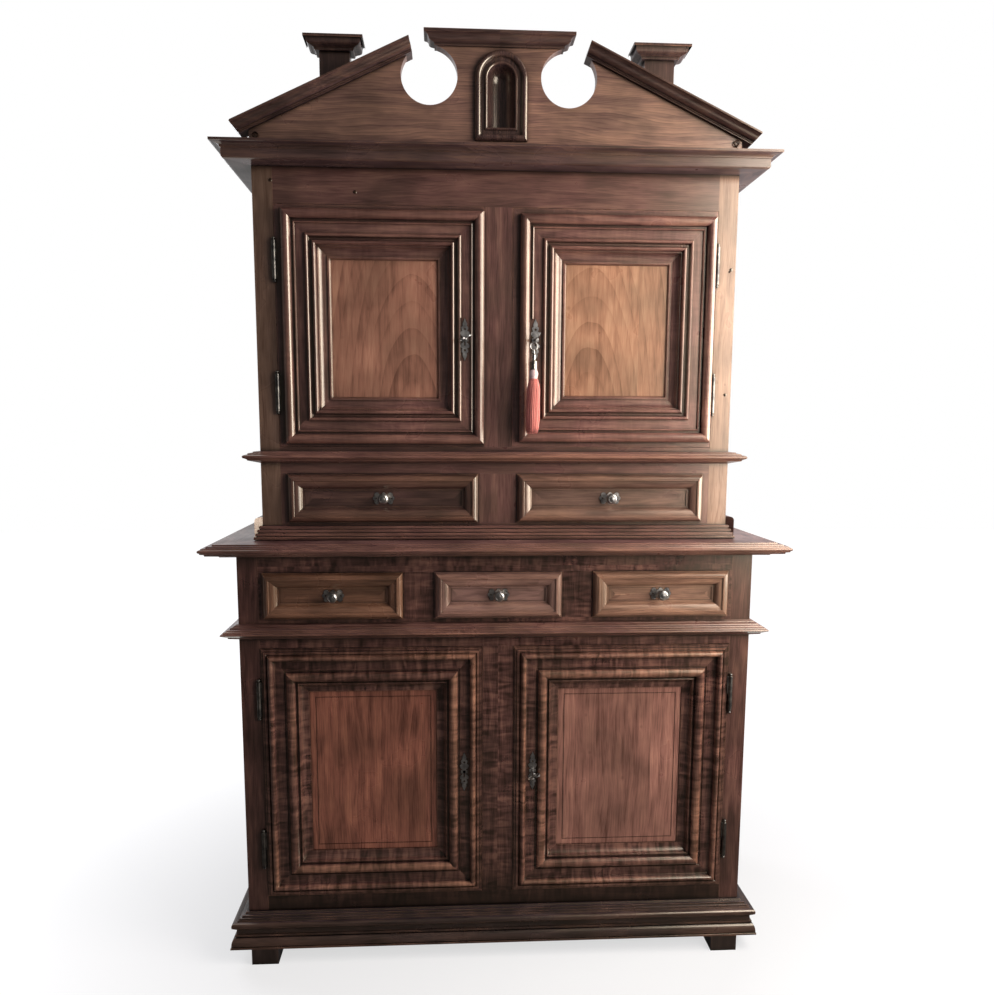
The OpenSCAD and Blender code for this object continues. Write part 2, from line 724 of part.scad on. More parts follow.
// The socle's front climbs in four small noses, its sides are taller with a rounded top
function socle_front(o, h, z) = let (p = h / 4, d = (o - 4) / 4) concat([[0, z]],
  [for (i = [0:3]) each [[o - d * i, z + p * i + 1.5], [o - d * i, z + p * (i + 1) - 2.5],
    [o - d * i - 1.5, z + p * (i + 1) - 1], [o - d * (i + 1) - 2, z + p * (i + 1) - 0.5],
    [o - d * (i + 1) - 2, z + p * (i + 1) + (i < 3 ? 1 : 0)]]],
  [[0, z + h]]);
function socle_side(o, h, z) = concat([[0, z], [o - 3, z]],
  arc(o - 10, z + h - 9, 7, 9, 0, 90, 6), [[0, z + h]]);

module upper_socle() {
  z = upper_z + joint_gap;
  color(walnut) wrap(upper_hw, upper_y, back_y, socle_out,
    socle_front(socle_out, socle_front_h, z), socle_side(socle_out, socle_side_h, z));
}

belt_h = 30.5;
function belt_points(o, z) = concat(
  [[0, z], [o - 11, z + 7], [o - 10, z + 9.5], [o - 3, z + 13]],
  arc(o - 4, z + 16.5, 4, 4, -70, 70, 5),
  [[o - 5, z + 21], [o - 11, z + 22.5], [o - 12, z + 25], [o - 22, z + 27],
   [o - 23, z + 29], [0, z + belt_h]]);

module belt_moulding() {
  points = belt_points(belt_out, belt_rail_z + 26.5);
  color(walnut) wrap(upper_hw, upper_y, back_y, belt_out, points, points);
}

// Flat soffit, tall fascia with a rounded foot, and a crown of a hollow under a fillet
function cornice_points(o, h, z) = concat(
  [[0, z]],
  arc(o - 31, z + 6, 8.5, 6, -90, 0, 5),
  [[o - 22.5, z + h - 15.5], [o - 20.5, z + h - 14.5]],
  arc(o - 3, z + h - 14, 17.5, 7.5, 175, 90, 6),
  [[o - 2, z + h - 6], [o, z + h - 5.5], [o, z + h], [0, z + h]]);

module cornice() {
  points = cornice_points(cornice_out, cornice_h, cornice_z - cornice_h);
  color(walnut) wrap(upper_hw, upper_y, back_y, cornice_out, points, points);
}

// Pediment

// Height of the rakes' underside at a distance from the middle
tympanum_hw = upper_hw + 3;
function rake_z(x) = cornice_z + tympanum_end_h + (tympanum_hw - x) * tan(rake_angle);
niche_spring_z = cornice_z + niche_spring;
niche_foot_z = cornice_z + niche_z;

niche_in = niche_r - niche_frame_w;
niche_block_w = niche_in + 7;

module tympanum_outline() {
  difference() {
    polygon([[-tympanum_hw, cornice_z], [tympanum_hw, cornice_z],
      [tympanum_hw, rake_z(tympanum_hw)], [scroll_x + 30, rake_z(scroll_x + 30) - joint_gap],
      [cap_neck, cornice_z + cap_z], [-cap_neck, cornice_z + cap_z],
      [-scroll_x - 30, rake_z(scroll_x + 30) - joint_gap], [-tympanum_hw, rake_z(tympanum_hw)]]);
    for (s = [-1, 1]) translate([s * scroll_x, cornice_z + scroll_z]) circle(scroll_r, $fn = 96);
    translate([niche_x - niche_block_w, niche_foot_z + niche_frame_w - 7])
      square([2 * niche_block_w, niche_spring_z + niche_block_w - niche_foot_z - niche_frame_w + 7]);
  }
}

module tympanum() {
  color(walnut_light) translate([0, upper_y + tympanum_t, 0]) rotate([90, 0, 0])
    linear_extrude(tympanum_t) tympanum_outline();
}

// Rake section, out from the board's face and up: two small beads, a wave and a fillet
function rake_points(o, t) = let (w = (t - 10.5) / 2) concat(
  [[-tympanum_t - 8, joint_gap], [o - 29, joint_gap], [o - 29, 2.5], [o - 26, 3],
   [o - 26, 5.5], [o - 22, 6]],
  arc(o - 22, 6 + w, 10, w, -75, 0, 4),
  arc(o - 3, 6 + w, 9, w, 165, 90, 4),
  [[o - 2, t - 4], [o, t - 3.5], [o, t], [-tympanum_t - 8, t]]);

// The upper ends are cut square to the slope, the lower ones slant back to the board
module rake() {
  x_low = tympanum_hw + rake_over;
  z_low = rake_z(x_low);
  lean = 0.3;
  top = rake_z(rake_stop) + rake_t;
  intersection() {
    translate([x_low, 0, z_low]) rotate([0, rake_angle - 180, 0]) mirror([0, 0, 1])
      run_x(rake_points(rake_out, rake_t), -60, 520, upper_y);
    front_prism([[rake_stop - 100 * lean, top - 100], [x_low - 26, cornice_z + joint_gap],
      [x_low - 26, z_low - 4], [x_low, z_low + rake_t], [x_low - 12, z_low + 2 * rake_t],
      [rake_stop + 100 * lean, top + 100]], upper_y - rake_out - 1, upper_y + tympanum_t + 10);
  }
}

// Cap section: small fillet, wave and a broad fillet
function cap_points(o, h, z) = let (w = (h - 14) / 2) concat(
  [[0, z], [o - 25, z], [o - 25, z + 5], [o - 23, z + 5.5]],
  arc(o - 23, z + 6 + w, 12, w, -80, 0, 4),
  arc(o - 3, z + 6 + w, 8, w, 165, 90, 4),
  [[o - 2, z + h - 7.5], [o, z + h - 7], [o, z + h], [0, z + h]]);

module pediment_mouldings() {
  z = cornice_z + cap_z + joint_gap;
  y1 = upper_y + tympanum_t;
  points = cap_points(cap_out, cap_h, z);
  color(walnut) {
    both_sides() rake();
    wrap(cap_neck, upper_y, y1, cap_out, points, points);
    box(-cap_neck + joint_gap, cap_neck - joint_gap, upper_y + joint_gap, y1, z, z + cap_h);
  }
}

// Section of the niche's frame: bead, flat and small bead
function niche_points(w) = concat(
  [[0, 0], [0, 4]],
  arc(0.24 * w, 4, 0.24 * w, 8, 175, 5, 8),
  [[0.5 * w, 4], [0.76 * w, 4]],
  arc(0.88 * w, 4, 0.11 * w, 4, 175, 5, 5),
  [[w, 3], [w, 0]]);

module niche_frame() {
  g = joint_gap / 2;
  w = niche_frame_w;
  y = upper_y - joint_gap;
  for (s = [-1, 1]) translate([niche_x, 0, 0]) mirror([s < 0 ? 1 : 0, 0, 0]) intersection() {
    translate([0, 0, niche_foot_z]) linear_extrude(niche_spring_z - g - niche_foot_z)
      polygon([for (p = niche_points(w)) [niche_r - p[0], y - p[1]]]);
    front_prism([[niche_r + 1, niche_foot_z + g - 1], [niche_in - 1, niche_foot_z + w + g + 1],
      [niche_in - 1, niche_spring_z], [niche_r + 1, niche_spring_z]], y - 20, y + 1);
  }
  translate([niche_x, 0, 0]) intersection() {
    run_x([for (p = niche_points(w)) [p[1], niche_foot_z + p[0]]], -niche_r, niche_r, y);
    front_prism([[-niche_r + g, niche_foot_z], [niche_r - g, niche_foot_z],
      [niche_in - g, niche_foot_z + w], [-niche_in + g, niche_foot_z + w]], y - 20, y + 1);
  }
  translate([niche_x, y, niche_spring_z]) rotate([90, 0, 0]) intersection() {
    rotate_extrude($fn = 96) polygon([for (p = niche_points(w)) [niche_r - p[0], p[1]]]);
    translate([-100, 0, -20]) cube([200, 100, 60]);
  }
}

module niche() {
  z0 = niche_foot_z + niche_frame_w - 7 + joint_gap;
  z1 = niche_spring_z + niche_block_w - joint_gap;
  color(walnut) {
    niche_frame();
    difference() {
      box(niche_x - niche_block_w + joint_gap, niche_x + niche_block_w - joint_gap, upper_y,
        upper_y + niche_block_t, z0, z1);
      translate([niche_x, upper_y, niche_foot_z + niche_frame_w])
        cylinder(r = niche_in, h = niche_spring_z - niche_foot_z - niche_frame_w, $fn = 64);
      translate([niche_x, upper_y, niche_spring_z]) sphere(niche_in, $fn = 64);
    }
  }
}

module side_plinths() {
  y0 = upper_y + tympanum_t + 8 + joint_gap;
  z1 = cornice_z + plinth_h;
  zc = z1 - plinth_cap_h;
  o = plinth_out;
  points = concat([[0, zc], [0.26 * o, zc], [0.3 * o, zc + 2], [0.3 * o, zc + 5],
    [0.38 * o, zc + 6]],
    arc(0.38 * o, zc + 14, 0.42 * o, 7, -80, 0, 4),
    arc(0.96 * o, z1 - 6.5, 0.14 * o, plinth_cap_h - 22, 180, 90, 3),
    [[o, z1 - 6], [o, z1], [0, z1]]);
  color(walnut) for (s = [-1, 1]) translate([s * plinth_x, 0, 0]) {
    box(-plinth_w / 2, plinth_w / 2, y0, y0 + plinth_d, cornice_z, z1);
    wrap(plinth_w / 2 + joint_gap, y0 - joint_gap, y0 + plinth_d, o, points, points);
  }
}

// Hinges: the fixed lower half has the pin, the moving upper half the bore

module finial(r, down) {
  mirror([0, 0, down ? 1 : 0]) rotate_extrude() polygon(concat(
    [[0, 0], [r * 0.8, 0], [r * 0.45, 1.2], [r * 0.45, 1.8]],
    arc(0, 5, r * 0.8, 3.4, -50, 88, 6), [[0, 8.6]]));
}

module hinge_pins() {
  color(iron) for (i = [0:3], z = hinge_zs(i)) {
    xo = side(i) * open_x(i);
    xp = pivot_x(i);
    union() {
      translate([xp, pivot_y(i), z - barrel_h]) {
        cylinder(r = barrel_r, h = barrel_h - joint_gap);
        cylinder(r = pin_r, h = barrel_h + barrel_h * 0.8);
        finial(barrel_r, true);
      }
      box(min(xo, xo + side(i) * hinge_leaf_t) + (side(i) < 0 ? 0 : 0.05),
        max(xo, xo + side(i) * hinge_leaf_t) - (side(i) < 0 ? 0.05 : 0),
        pivot_y(i), face_y(i) + hinge_leaf_d - 0.1, z - barrel_h + 0.1, z - joint_gap - 0.1);
    }
  }
}

// The moving leaf lies against the door's edge, inside the opening's gap
module door_hinges(i) {
  xe = side(i) < 0 ? leaf_x0(i) : leaf_x1(i);
  xp = pivot_x(i);
  inner = xe - side(i) * hinge_leaf_t;
  color(iron) for (z = hinge_zs(i)) difference() {
    union() {
      translate([xp, pivot_y(i), z]) {
        cylinder(r = barrel_r, h = barrel_h);
        translate([0, 0, barrel_h]) finial(barrel_r, false);
      }
      box(min(xe, inner), max(xe, inner), face_y(i) - 1, face_y(i) + hinge_leaf_d - 0.1,
        z + joint_gap, z + barrel_h - joint_gap);
      box(min(xp, inner), max(xp, inner), pivot_y(i) - hinge_leaf_t / 2,
        pivot_y(i) + hinge_leaf_t / 2, z + joint_gap, z + barrel_h - joint_gap);
      box(min(xe, inner), max(xe, inner), pivot_y(i) - hinge_leaf_t / 2, face_y(i) - 0.5,
        z + joint_gap, z + barrel_h - joint_gap);
    }
    translate([xp, pivot_y(i), z - 1]) cylinder(r = pin_r + pin_play, h = barrel_h * 0.8 + 2);
  }
}

// Doors

// A flat frame of two stiles and two rails, with the mitred moulding over its inner edge
module door_frame(i) {
  xe = side(i) < 0 ? leaf_x0(i) : leaf_x1(i);
  inner = xe - side(i) * (hinge_leaf_t + 0.05);
  y = face_y(i);
  m = mould_box(i);
  b = inset(m, door_mould_lap);
  w = door_mould_w;
  color(is_upper(i) ? walnut_light : walnut) difference() {
    union() {
      box(leaf_x0(i), b[0], y, y + door_t, leaf_z0(i), leaf_z1(i));
      box(b[1], leaf_x1(i), y, y + door_t, leaf_z0(i), leaf_z1(i));
      box(b[0] + joint_gap, b[1] - joint_gap, y, y + door_t, leaf_z0(i), b[2]);
      box(b[0] + joint_gap, b[1] - joint_gap, y, y + door_t, b[3], leaf_z1(i));
      mitred_frame(m[0], m[1], m[2], m[3], [w, w, w, w], y - joint_gap / 4, door_t + 1,
        door_mould_out, is_upper(i) ? upper_section : lower_section);
    }
    for (z = hinge_zs(i)) {
      box(min(xe + side(i), inner), max(xe + side(i), inner), y - door_mould_out - 1,
        y + hinge_leaf_d, z, z + barrel_h);
      translate([pivot_x(i), pivot_y(i), z - barrel_h - 12])
        cylinder(r = barrel_r + 0.5, h = 2 * barrel_h + 24);
    }
    translate([key_x(i), y + door_t + 1, key_z(i)]) rotate([90, 0, 0])
      cylinder(r = key_r + 1.5, h = door_t + door_mould_out + 2);
    box(key_x(i) - plate_w / 2 - 0.5, key_x(i) + plate_w / 2 + 0.5, y - door_mould_out - 1,
      y - plate_seat(i), key_z(i) - plate_h / 2 - 1, key_z(i) + plate_h / 2 + 1);
  }
}

module door_panel(i) {
  b = inset(mould_box(i), door_mould_w);
  g = groove_d - 0.5;
  y0 = face_y(i) + panel_back + panel_play;
  f = field_margin;
  color(is_upper(i) ? walnut_light : walnut) difference() {
    box(b[0] - g, b[1] + g, y0, y0 + panel_t, b[2] - g, b[3] + g);
    if (!is_upper(i)) difference() {
      box(b[0] + f, b[1] - f, y0 - 1, y0 + 1.2, b[2] + f, b[3] - f);
      box(b[0] + f + 2.5, b[1] - f - 2.5, y0 - 2, y0 + 2, b[2] + f + 2.5, b[3] - f - 2.5);
    }
  }
}

// Pierced plate: a keyhole body with a leaf at each end
module escutcheon_outline() {
  h = plate_h / 2;
  w = plate_w / 2;
  difference() {
    union() {
      square([w * 1.5, h * 0.72], center = true);
      for (s = [-1, 1]) {
        for (t = [-1, 1]) {
          translate([t * w * 0.55, s * h * 0.3]) circle(w * 0.45);
          translate([t * w * 0.4, s * h * 0.55]) circle(w * 0.34);
        }
        translate([0, s * h * 0.5]) circle(w * 0.66);
        polygon([[-w * 0.42, s * h * 0.62], [w * 0.42, s * h * 0.62], [w * 0.5, s * h * 0.75],
          [0, s * h], [-w * 0.5, s * h * 0.75]]);
      }
    }
    circle(key_r + 0.8);
    translate([0, -8]) square([3.6, 14], center = true);
    for (s = [-1, 1]) {
      translate([0, s * h * 0.5]) circle(w * 0.24);
      for (t = [-1, 1]) translate([t * w * 0.62, s * h * 0.12]) circle(w * 0.2);
    }
  }
}

// Lock: the escutcheon in front, the hollow case behind the meeting member
module door_lock(i) {
  x0 = case_x0(i);
  z0 = key_z(i) - case_h / 2;
  y0 = lock_back_y(i) + joint_gap / 2;
  color(iron) {
    translate([key_x(i), face_y(i) - plate_seat(i) - joint_gap, key_z(i)]) rotate([90, 0, 0])
      linear_extrude(plate_t) escutcheon_outline();
    difference() {
      box(x0, x0 + case_w, y0, y0 + case_d, z0, z0 + case_h);
      box(x0 + case_t, x0 + case_w - case_t, y0 + case_t, y0 + case_d - case_t,
        z0 + case_t, z0 + case_h - case_t);
      translate([key_x(i), y0 + case_d / 2, key_z(i)]) rotate([90, 0, 0])
        cylinder(r = key_r + 1, h = case_d);
      box(x0 - 1, x0 + case_w + 1, bolt_y(i) - 0.3, bolt_y(i) + bolt_t + 0.3,
        bolt_z(i) - 0.3, bolt_z(i) + bolt_h + 0.3);
    }
  }
}

// Height above the frame's face of the shallow seat that is cut for an escutcheon
function plate_seat(i) = is_upper(i) ? 3.6 : 2.6;

// The bolt slides above the key, behind the stile, and the bit works in its notch
function bolt_y(i) = lock_back_y(i) + joint_gap / 2 + (case_d - bolt_t) / 2;
function bolt_z(i) = key_z(i) + bit_r - 3;
notch_w = 15;

module bolt(i) {
  x0 = case_x0(i);
  s = side(i);
  kx = key_x(i) + s * bolt_throw / 2;
  color(iron) difference() {
    box(x0 + 1, x0 + case_w - 1, bolt_y(i), bolt_y(i) + bolt_t, bolt_z(i), bolt_z(i) + bolt_h);
    box(kx - notch_w / 2, kx + notch_w / 2, bolt_y(i) - 1, bolt_y(i) + bolt_t + 1,
      bolt_z(i) - 1, bolt_z(i) + 4);
  }
}

// Keys: [door, tilt of the bow] with the bit turned 65 degrees from upright
module key_bow_outline() {
  difference() {
    union() {
      for (s = [-1, 1]) translate([s * bow_r * 0.47, 0]) circle(bow_r * 0.53);
      translate([-3, -0.2 * bow_r]) square([6, bow_r]);
    }
    for (s = [-1, 1]) translate([s * bow_r * 0.47, 0]) circle(bow_r * 0.53 - 3);
  }
}

key_turn = 130;
module key(i, tilt) {
  y_bow = face_y(i) - bow_out;
  y_end = bolt_y(i) + bolt_t + 1.5;
  s = side(i);
  color(iron) translate([key_x(i), 0, key_z(i)]) {
    translate([0, y_end, 0]) rotate([90, 0, 0]) cylinder(r = key_r, h = y_end - y_bow - bow_r * 0.45);
    rotate([0, s * key_turn / 2, 0])
      box(-1.6, 1.6, bolt_y(i) + 0.4, bolt_y(i) + bolt_t - 0.4, 0, bit_r);
    translate([0, y_bow, 0]) rotate([0, -tilt, 0]) translate([0, 0, -1.3])
      linear_extrude(2.6) key_bow_outline();
    translate([0, y_bow + bow_r * 0.75, 0]) rotate([90, 0, 0])
      rotate_extrude() translate([key_r + 0.3, 0]) circle(1.2, $fn = 24);
  }
}

// The tassel hangs from the lower end of the upper right key's bow
tassel_tilt = 60;
tassel_x = key_x(1) - (bow_r - 1.5) * cos(tassel_tilt);
tassel_y = upper_y - bow_out;
tassel_z = key_z(1) - (bow_r - 1.5) * sin(tassel_tilt);

loop_drop = loop_r - cord_r - 2.3;
module key_tassel() {
  h = ferrule_h + head_h;
  color(silk) translate([tassel_x, tassel_y, 0]) {
    translate([0, 0, tassel_z - loop_drop]) rotate([90, 0, 0]) rotate_extrude()
      translate([loop_r, 0]) circle(cord_r, $fn = 24);
    translate([0, 0, tassel_z - loop_drop - loop_r - 26]) rotate_extrude() polygon(concat(
      [[0, 26.5], [2.2, 26], [2.2, 16]],
      arc(0, 10.5, 5.2, 6, 65, -50, 7),
      [[3.4, 2], [ferrule_r - 2, 0], [ferrule_r, -1], [ferrule_r, 1 - ferrule_h],
       [ferrule_r - 0.5, -ferrule_h]],
      arc(0, -ferrule_h - head_h / 2, head_r, head_h / 2 + 1, 50, -30, 6),
      [[head_r - 1.5, 1 - h]],
      arc(skirt_r - 11, -h - 20, 7, 20, 85, 0, 5),
      [[skirt_r - 1.5, -h - skirt_h * 0.4], [skirt_r, -h - skirt_h * 0.8],
       [skirt_r - 2, -h - skirt_h + 6], [skirt_r - 7, -h - skirt_h], [0, -h - skirt_h]]));
  }
}

// Drawers

function front_x0(d) = drawers[d][0] + leaf_gap;
function front_x1(d) = drawers[d][1] - leaf_gap;
function front_z0(d) = drawer_z0(d) + leaf_gap;
function front_z1(d) = drawer_z1(d) - leaf_gap;

module drawer_front(d) {
  w = drawer_mould_w;
  y = drawer_y(d);
  color(walnut) {
    box(front_x0(d), front_x1(d), y, y + drawer_front_t, front_z0(d), front_z1(d));
    mitred_frame(front_x0(d), front_x1(d), front_z0(d), front_z1(d), 
      [w, w, w, w], y - joint_gap, 1, drawer_mould_out + 1, drawer_section);
  }
}

// The box runs between the guides: two sides, a back and a bottom
module drawer_box(d) {
  y0 = drawer_y(d) + drawer_front_t + joint_gap;
  y1 = y0 + drawer_box_d - (drawers[d][2] ? upper_setback / 2 : 0);
  z0 = drawer_z0(d) + drawer_play;
  z1 = drawer_z1(d) - drawer_side_drop;
  xa = front_x0(d);
  xb = front_x1(d);
  t = drawer_side_t;
  color(raw_wood) {
    box(xa, xa + t, y0, y1, z0, z1);
    box(xb - t, xb, y0, y1, z0, z1);
    box(xa + t + joint_gap, xb - t - joint_gap, y1 - t, y1, z0 + drawer_bottom_t + joint_gap, z1);
    box(xa + t + joint_gap, xb - t - joint_gap, y0, y1, z0, z0 + drawer_bottom_t);
  }
}

// Pull: cut-out plate with two pins and a turned knob
module pull_outline() {
  w = pull_w / 2;
  h = pull_h / 2;
  difference() {
    union() {
      circle(h * 0.8);
      square([w * 1.3, h * 0.9], center = true);
      for (s = [-1, 1]) {
        for (t = [-1, 1]) translate([s * w * 0.62, t * h * 0.55]) circle(h * 0.42);
        translate([s * w * 0.8, 0]) circle(w * 0.2);
      }
      translate([0, h * 0.7]) circle(h * 0.3);
      translate([0, -h * 0.7]) circle(h * 0.3);
    }
    for (s = [-1, 1]) translate([s * w * 0.7, 0]) circle(2);
  }
}

module drawer_pull(d) {
  x = (front_x0(d) + front_x1(d)) / 2;
  z = (front_z0(d) + front_z1(d)) / 2;
  y = drawer_y(d) - joint_gap;
  r = knob_r;
  o = knob_out;
  color(iron) translate([x, y, z]) rotate([90, 0, 0]) {
    linear_extrude(plate_t) pull_outline();
    rotate_extrude() polygon(concat(
      [[0, plate_t - 0.5], [r * 0.55, plate_t - 0.5], [r * 0.5, plate_t + 2], [r * 0.3, plate_t + 4],
       [r * 0.28, o - 14]],
      arc(r * 0.45, o - 7, r * 0.55, 5.5, -80, 60, 6),
      [[r * 0.66, o - 1.5], [r * 0.6, o - 2.5], [r * 0.35, o - 2], [r * 0.3, o], [0, o + 0.6]]));
  }
}

feet();
base_moulding();
lower_posts();
lower_front_frame();
side_rails();
side_panels();
back_boards();
boards();
runners();
mid_moulding();
waist_top();
upper_posts();
upper_front_frame();
upper_socle();
belt_moulding();
cornice();
tympanum();
pediment_mouldings();
niche();
side_plinths();
hinge_pins();
door_frame(0);  // upper_left_door_frame
door_panel(0);  // upper_left_door_panel
door_hinges(0);  // upper_left_door_hinges
door_lock(0);  // upper_left_door_lock
bolt(0);  // upper_left_bolt
key(0, 25);  // upper_left_key
door_frame(1);  // upper_right_door_frame
door_panel(1);  // upper_right_door_panel
door_hinges(1);  // upper_right_door_hinges
door_lock(1);  // upper_right_door_lock
bolt(1);  // upper_right_bolt
key(1, tassel_tilt);  // upper_right_key
key_tassel();
door_frame(2);  // lower_left_door_frame
door_panel(2);  // lower_left_door_panel
door_hinges(2);  // lower_left_door_hinges
door_lock(2);  // lower_left_door_lock
bolt(2);  // lower_left_bolt
door_frame(3);  // lower_right_door_frame
door_panel(3);  // lower_right_door_panel
door_hinges(3);  // lower_right_door_hinges
door_lock(3);  // lower_right_door_lock
bolt(3);  // lower_right_bolt
key(3, 25);  // lower_right_key
drawer_front(0);  // upper_left_drawer_front
drawer_box(0);  // upper_left_drawer_box
drawer_pull(0);  // upper_left_drawer_pull
drawer_front(1);  // upper_right_drawer_front
drawer_box(1);  // upper_right_drawer_box
drawer_pull(1);  // upper_right_drawer_pull
drawer_front(2);  // lower_left_drawer_front
drawer_box(2);  // lower_left_drawer_box
drawer_pull(2);  // lower_left_drawer_pull
drawer_front(3);  // lower_middle_drawer_front
drawer_box(3);  // lower_middle_drawer_box
drawer_pull(3);  // lower_middle_drawer_pull
drawer_front(4);  // lower_right_drawer_front
drawer_box(4);  // lower_right_drawer_box
drawer_pull(4);  // lower_right_drawer_pull
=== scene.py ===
import bpy
import math
import random
from mathutils import Euler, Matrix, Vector


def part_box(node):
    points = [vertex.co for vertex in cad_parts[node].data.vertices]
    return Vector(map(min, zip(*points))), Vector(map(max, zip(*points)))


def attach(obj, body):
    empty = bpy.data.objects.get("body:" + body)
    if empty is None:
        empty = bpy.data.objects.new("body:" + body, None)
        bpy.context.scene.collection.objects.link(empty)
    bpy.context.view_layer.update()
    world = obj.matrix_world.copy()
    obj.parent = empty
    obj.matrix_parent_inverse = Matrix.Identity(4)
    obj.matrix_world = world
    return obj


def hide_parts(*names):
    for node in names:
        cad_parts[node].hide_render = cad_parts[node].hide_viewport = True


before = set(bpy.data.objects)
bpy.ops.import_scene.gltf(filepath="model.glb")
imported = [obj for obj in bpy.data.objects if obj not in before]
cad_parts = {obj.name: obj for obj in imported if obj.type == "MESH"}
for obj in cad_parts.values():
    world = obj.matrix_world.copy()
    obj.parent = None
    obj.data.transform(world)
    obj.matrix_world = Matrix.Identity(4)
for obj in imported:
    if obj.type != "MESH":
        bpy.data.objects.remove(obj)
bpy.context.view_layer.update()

# The planes of the two fronts and their half widths, in metres from the middle of the floor.
UPPER_FACE, UPPER_HALF = -0.183, 0.601
LOWER_FACE, LOWER_HALF = -0.235, 0.658
# Heights between which the fronts have upright pieces, and above and below them rails.
UPPER_UPRIGHTS = ((1.154, 1.281), (1.349, 1.938))
LOWER_UPRIGHTS = ((0.167, 0.840), (0.914, 1.035))


def linear(code):
    """Turn an sRGB hex colour into the linear colour the shaders use."""
    out = []
    for i in (1, 3, 5):
        c = int(code[i:i + 2], 16) / 255
        out.append(c / 12.92 if c <= 0.04045 else ((c + 0.055) / 1.055) ** 2.4)
    return (*out, 1.0)


def add(tree, kind, inputs=(), **settings):
    """Add a node, set it up and link or fill its inputs."""
    node = tree.nodes.new(kind)
    for key, value in settings.items():
        setattr(node, key, value)
    for key, value in dict(inputs).items():
        if isinstance(value, bpy.types.NodeSocket):
            tree.links.new(value, node.inputs[key])
        else:
            node.inputs[key].default_value = value
    return node.outputs


def blank(name):
    """A material with an empty tree."""
    mat = bpy.data.materials.new(name)
    mat.use_nodes = True
    tree = mat.node_tree
    tree.nodes.clear()
    return mat, tree


def framed_boards(t, xyz, middle_x, middle_z, half_x, half_z):
    """Stiles run upright and rails across, parted on the mitres of the frame: 1 on a rail,
    and a number for each of the four."""
    dx = add(t, "ShaderNodeMath", {0: xyz["X"], 1: middle_x}, operation="SUBTRACT")[0]
    dz = add(t, "ShaderNodeMath", {0: xyz["Z"], 1: middle_z}, operation="SUBTRACT")[0]
    ax = add(t, "ShaderNodeMath", {0: dx}, operation="ABSOLUTE")[0]
    az = add(t, "ShaderNodeMath", {0: dz}, operation="ABSOLUTE")[0]
    past = add(t, "ShaderNodeMath", {0: az, 1: ax}, operation="SUBTRACT")[0]
    rail = add(t, "ShaderNodeMath", {0: past, 1: half_z - half_x}, operation="GREATER_THAN")[0]
    right = add(t, "ShaderNodeMath", {0: dx, 1: 0.0}, operation="GREATER_THAN")[0]
    high = add(t, "ShaderNodeMath", {0: dz, 1: 0.0}, operation="GREATER_THAN")[0]
    which = add(t, "ShaderNodeMix", {0: rail, 2: right, 3: high})[0]
    board = add(t, "ShaderNodeMath", {0: rail, 1: 2.0, 2: which}, operation="MULTIPLY_ADD")[0]
    return rail, board


def wrapped_boards(t, xyz, half, face):
    """A moulding round the front and the sides, parted on its mitres: 1 at the sides, and how
    far each spot stands out."""
    ax = add(t, "ShaderNodeMath", {0: xyz["X"]}, operation="ABSOLUTE")[0]
    out_x = add(t, "ShaderNodeMath", {0: ax, 1: half}, operation="SUBTRACT")[0]
    out_y = add(t, "ShaderNodeMath", {0: face, 1: xyz["Y"]}, operation="SUBTRACT")[0]
    side = add(t, "ShaderNodeMath", {0: out_x, 1: out_y}, operation="GREATER_THAN")[0]
    outward = add(t, "ShaderNodeMath", {0: out_x, 1: out_y}, operation="MAXIMUM")[0]
    return side, outward


# Boards are parted at whole steps from the middle or the floor, in metres. The last two are wider
# than half the object and only part left from right: HALVES lets the two sides differ in tone as
# well, and WIDE serves where no step is given.
UPRIGHT_STEP, RAIL_STEP, HALVES, WIDE = 0.12, 0.35, 1.3, 9.0


def railed_boards(t, xyz, spans):
    """Rails across and upright pieces between them: 1 on an upright, and a number that changes
    with each step across or up."""
    rows = []
    for low, high in spans:
        rows.append(add(t, "ShaderNodeMath", {0: xyz["Z"], 1: (low + high) / 2,
                                              2: (high - low) / 2}, operation="COMPARE")[0])
    upright = add(t, "ShaderNodeMath", {0: rows[0], 1: rows[1]}, operation="MAXIMUM")[0]
    column = add(t, "ShaderNodeMath", {0: xyz["X"], 1: UPRIGHT_STEP}, operation="SNAP")[0]
    row = add(t, "ShaderNodeMath", {0: xyz["Z"], 1: RAIL_STEP}, operation="SNAP")[0]
    board = add(t, "ShaderNodeMix", {0: upright, 2: row, 3: column})[0]
    return upright, board


def laid(t, place, grain, parts):
    """Turn each spot so that Z runs along its board, tell the boards apart, and say how far
    forward each spot stands: from the middle, or from the face that a moulding goes round."""
    xyz = add(t, "ShaderNodeSeparateXYZ", {0: place})
    x, y, z = xyz["X"], xyz["Y"], xyz["Z"]
    along_z = add(t, "ShaderNodeCombineXYZ", {0: x, 1: y, 2: z})[0]
    along_x = add(t, "ShaderNodeCombineXYZ", {0: z, 1: y, 2: x})[0]
    along_y = add(t, "ShaderNodeCombineXYZ", {0: z, 1: x, 2: y})[0]
    outward = add(t, "ShaderNodeMath", {0: y, 1: -1.0}, operation="MULTIPLY")[0]
    if grain == "frame":
        rail, board = framed_boards(t, xyz, *parts)
        along = add(t, "ShaderNodeMix", {0: rail, 4: along_z, 5: along_x}, data_type="VECTOR")[1]
    elif grain == "wrap":
        board, outward = wrapped_boards(t, xyz, *parts)
        along = add(t, "ShaderNodeMix", {0: board, 4: along_x, 5: along_y}, data_type="VECTOR")[1]
    elif grain == "rails":
        upright, board = railed_boards(t, xyz, parts)
        along = add(t, "ShaderNodeMix", {0: upright, 4: along_x, 5: along_z},
                    data_type="VECTOR")[1]
    else:
        along = {"x": along_x, "y": along_y, "z": along_z}[grain]
        board = add(t, "ShaderNodeMath", {0: x, 1: parts or WIDE}, operation="SNAP")[0]
    return xyz, along, board, outward


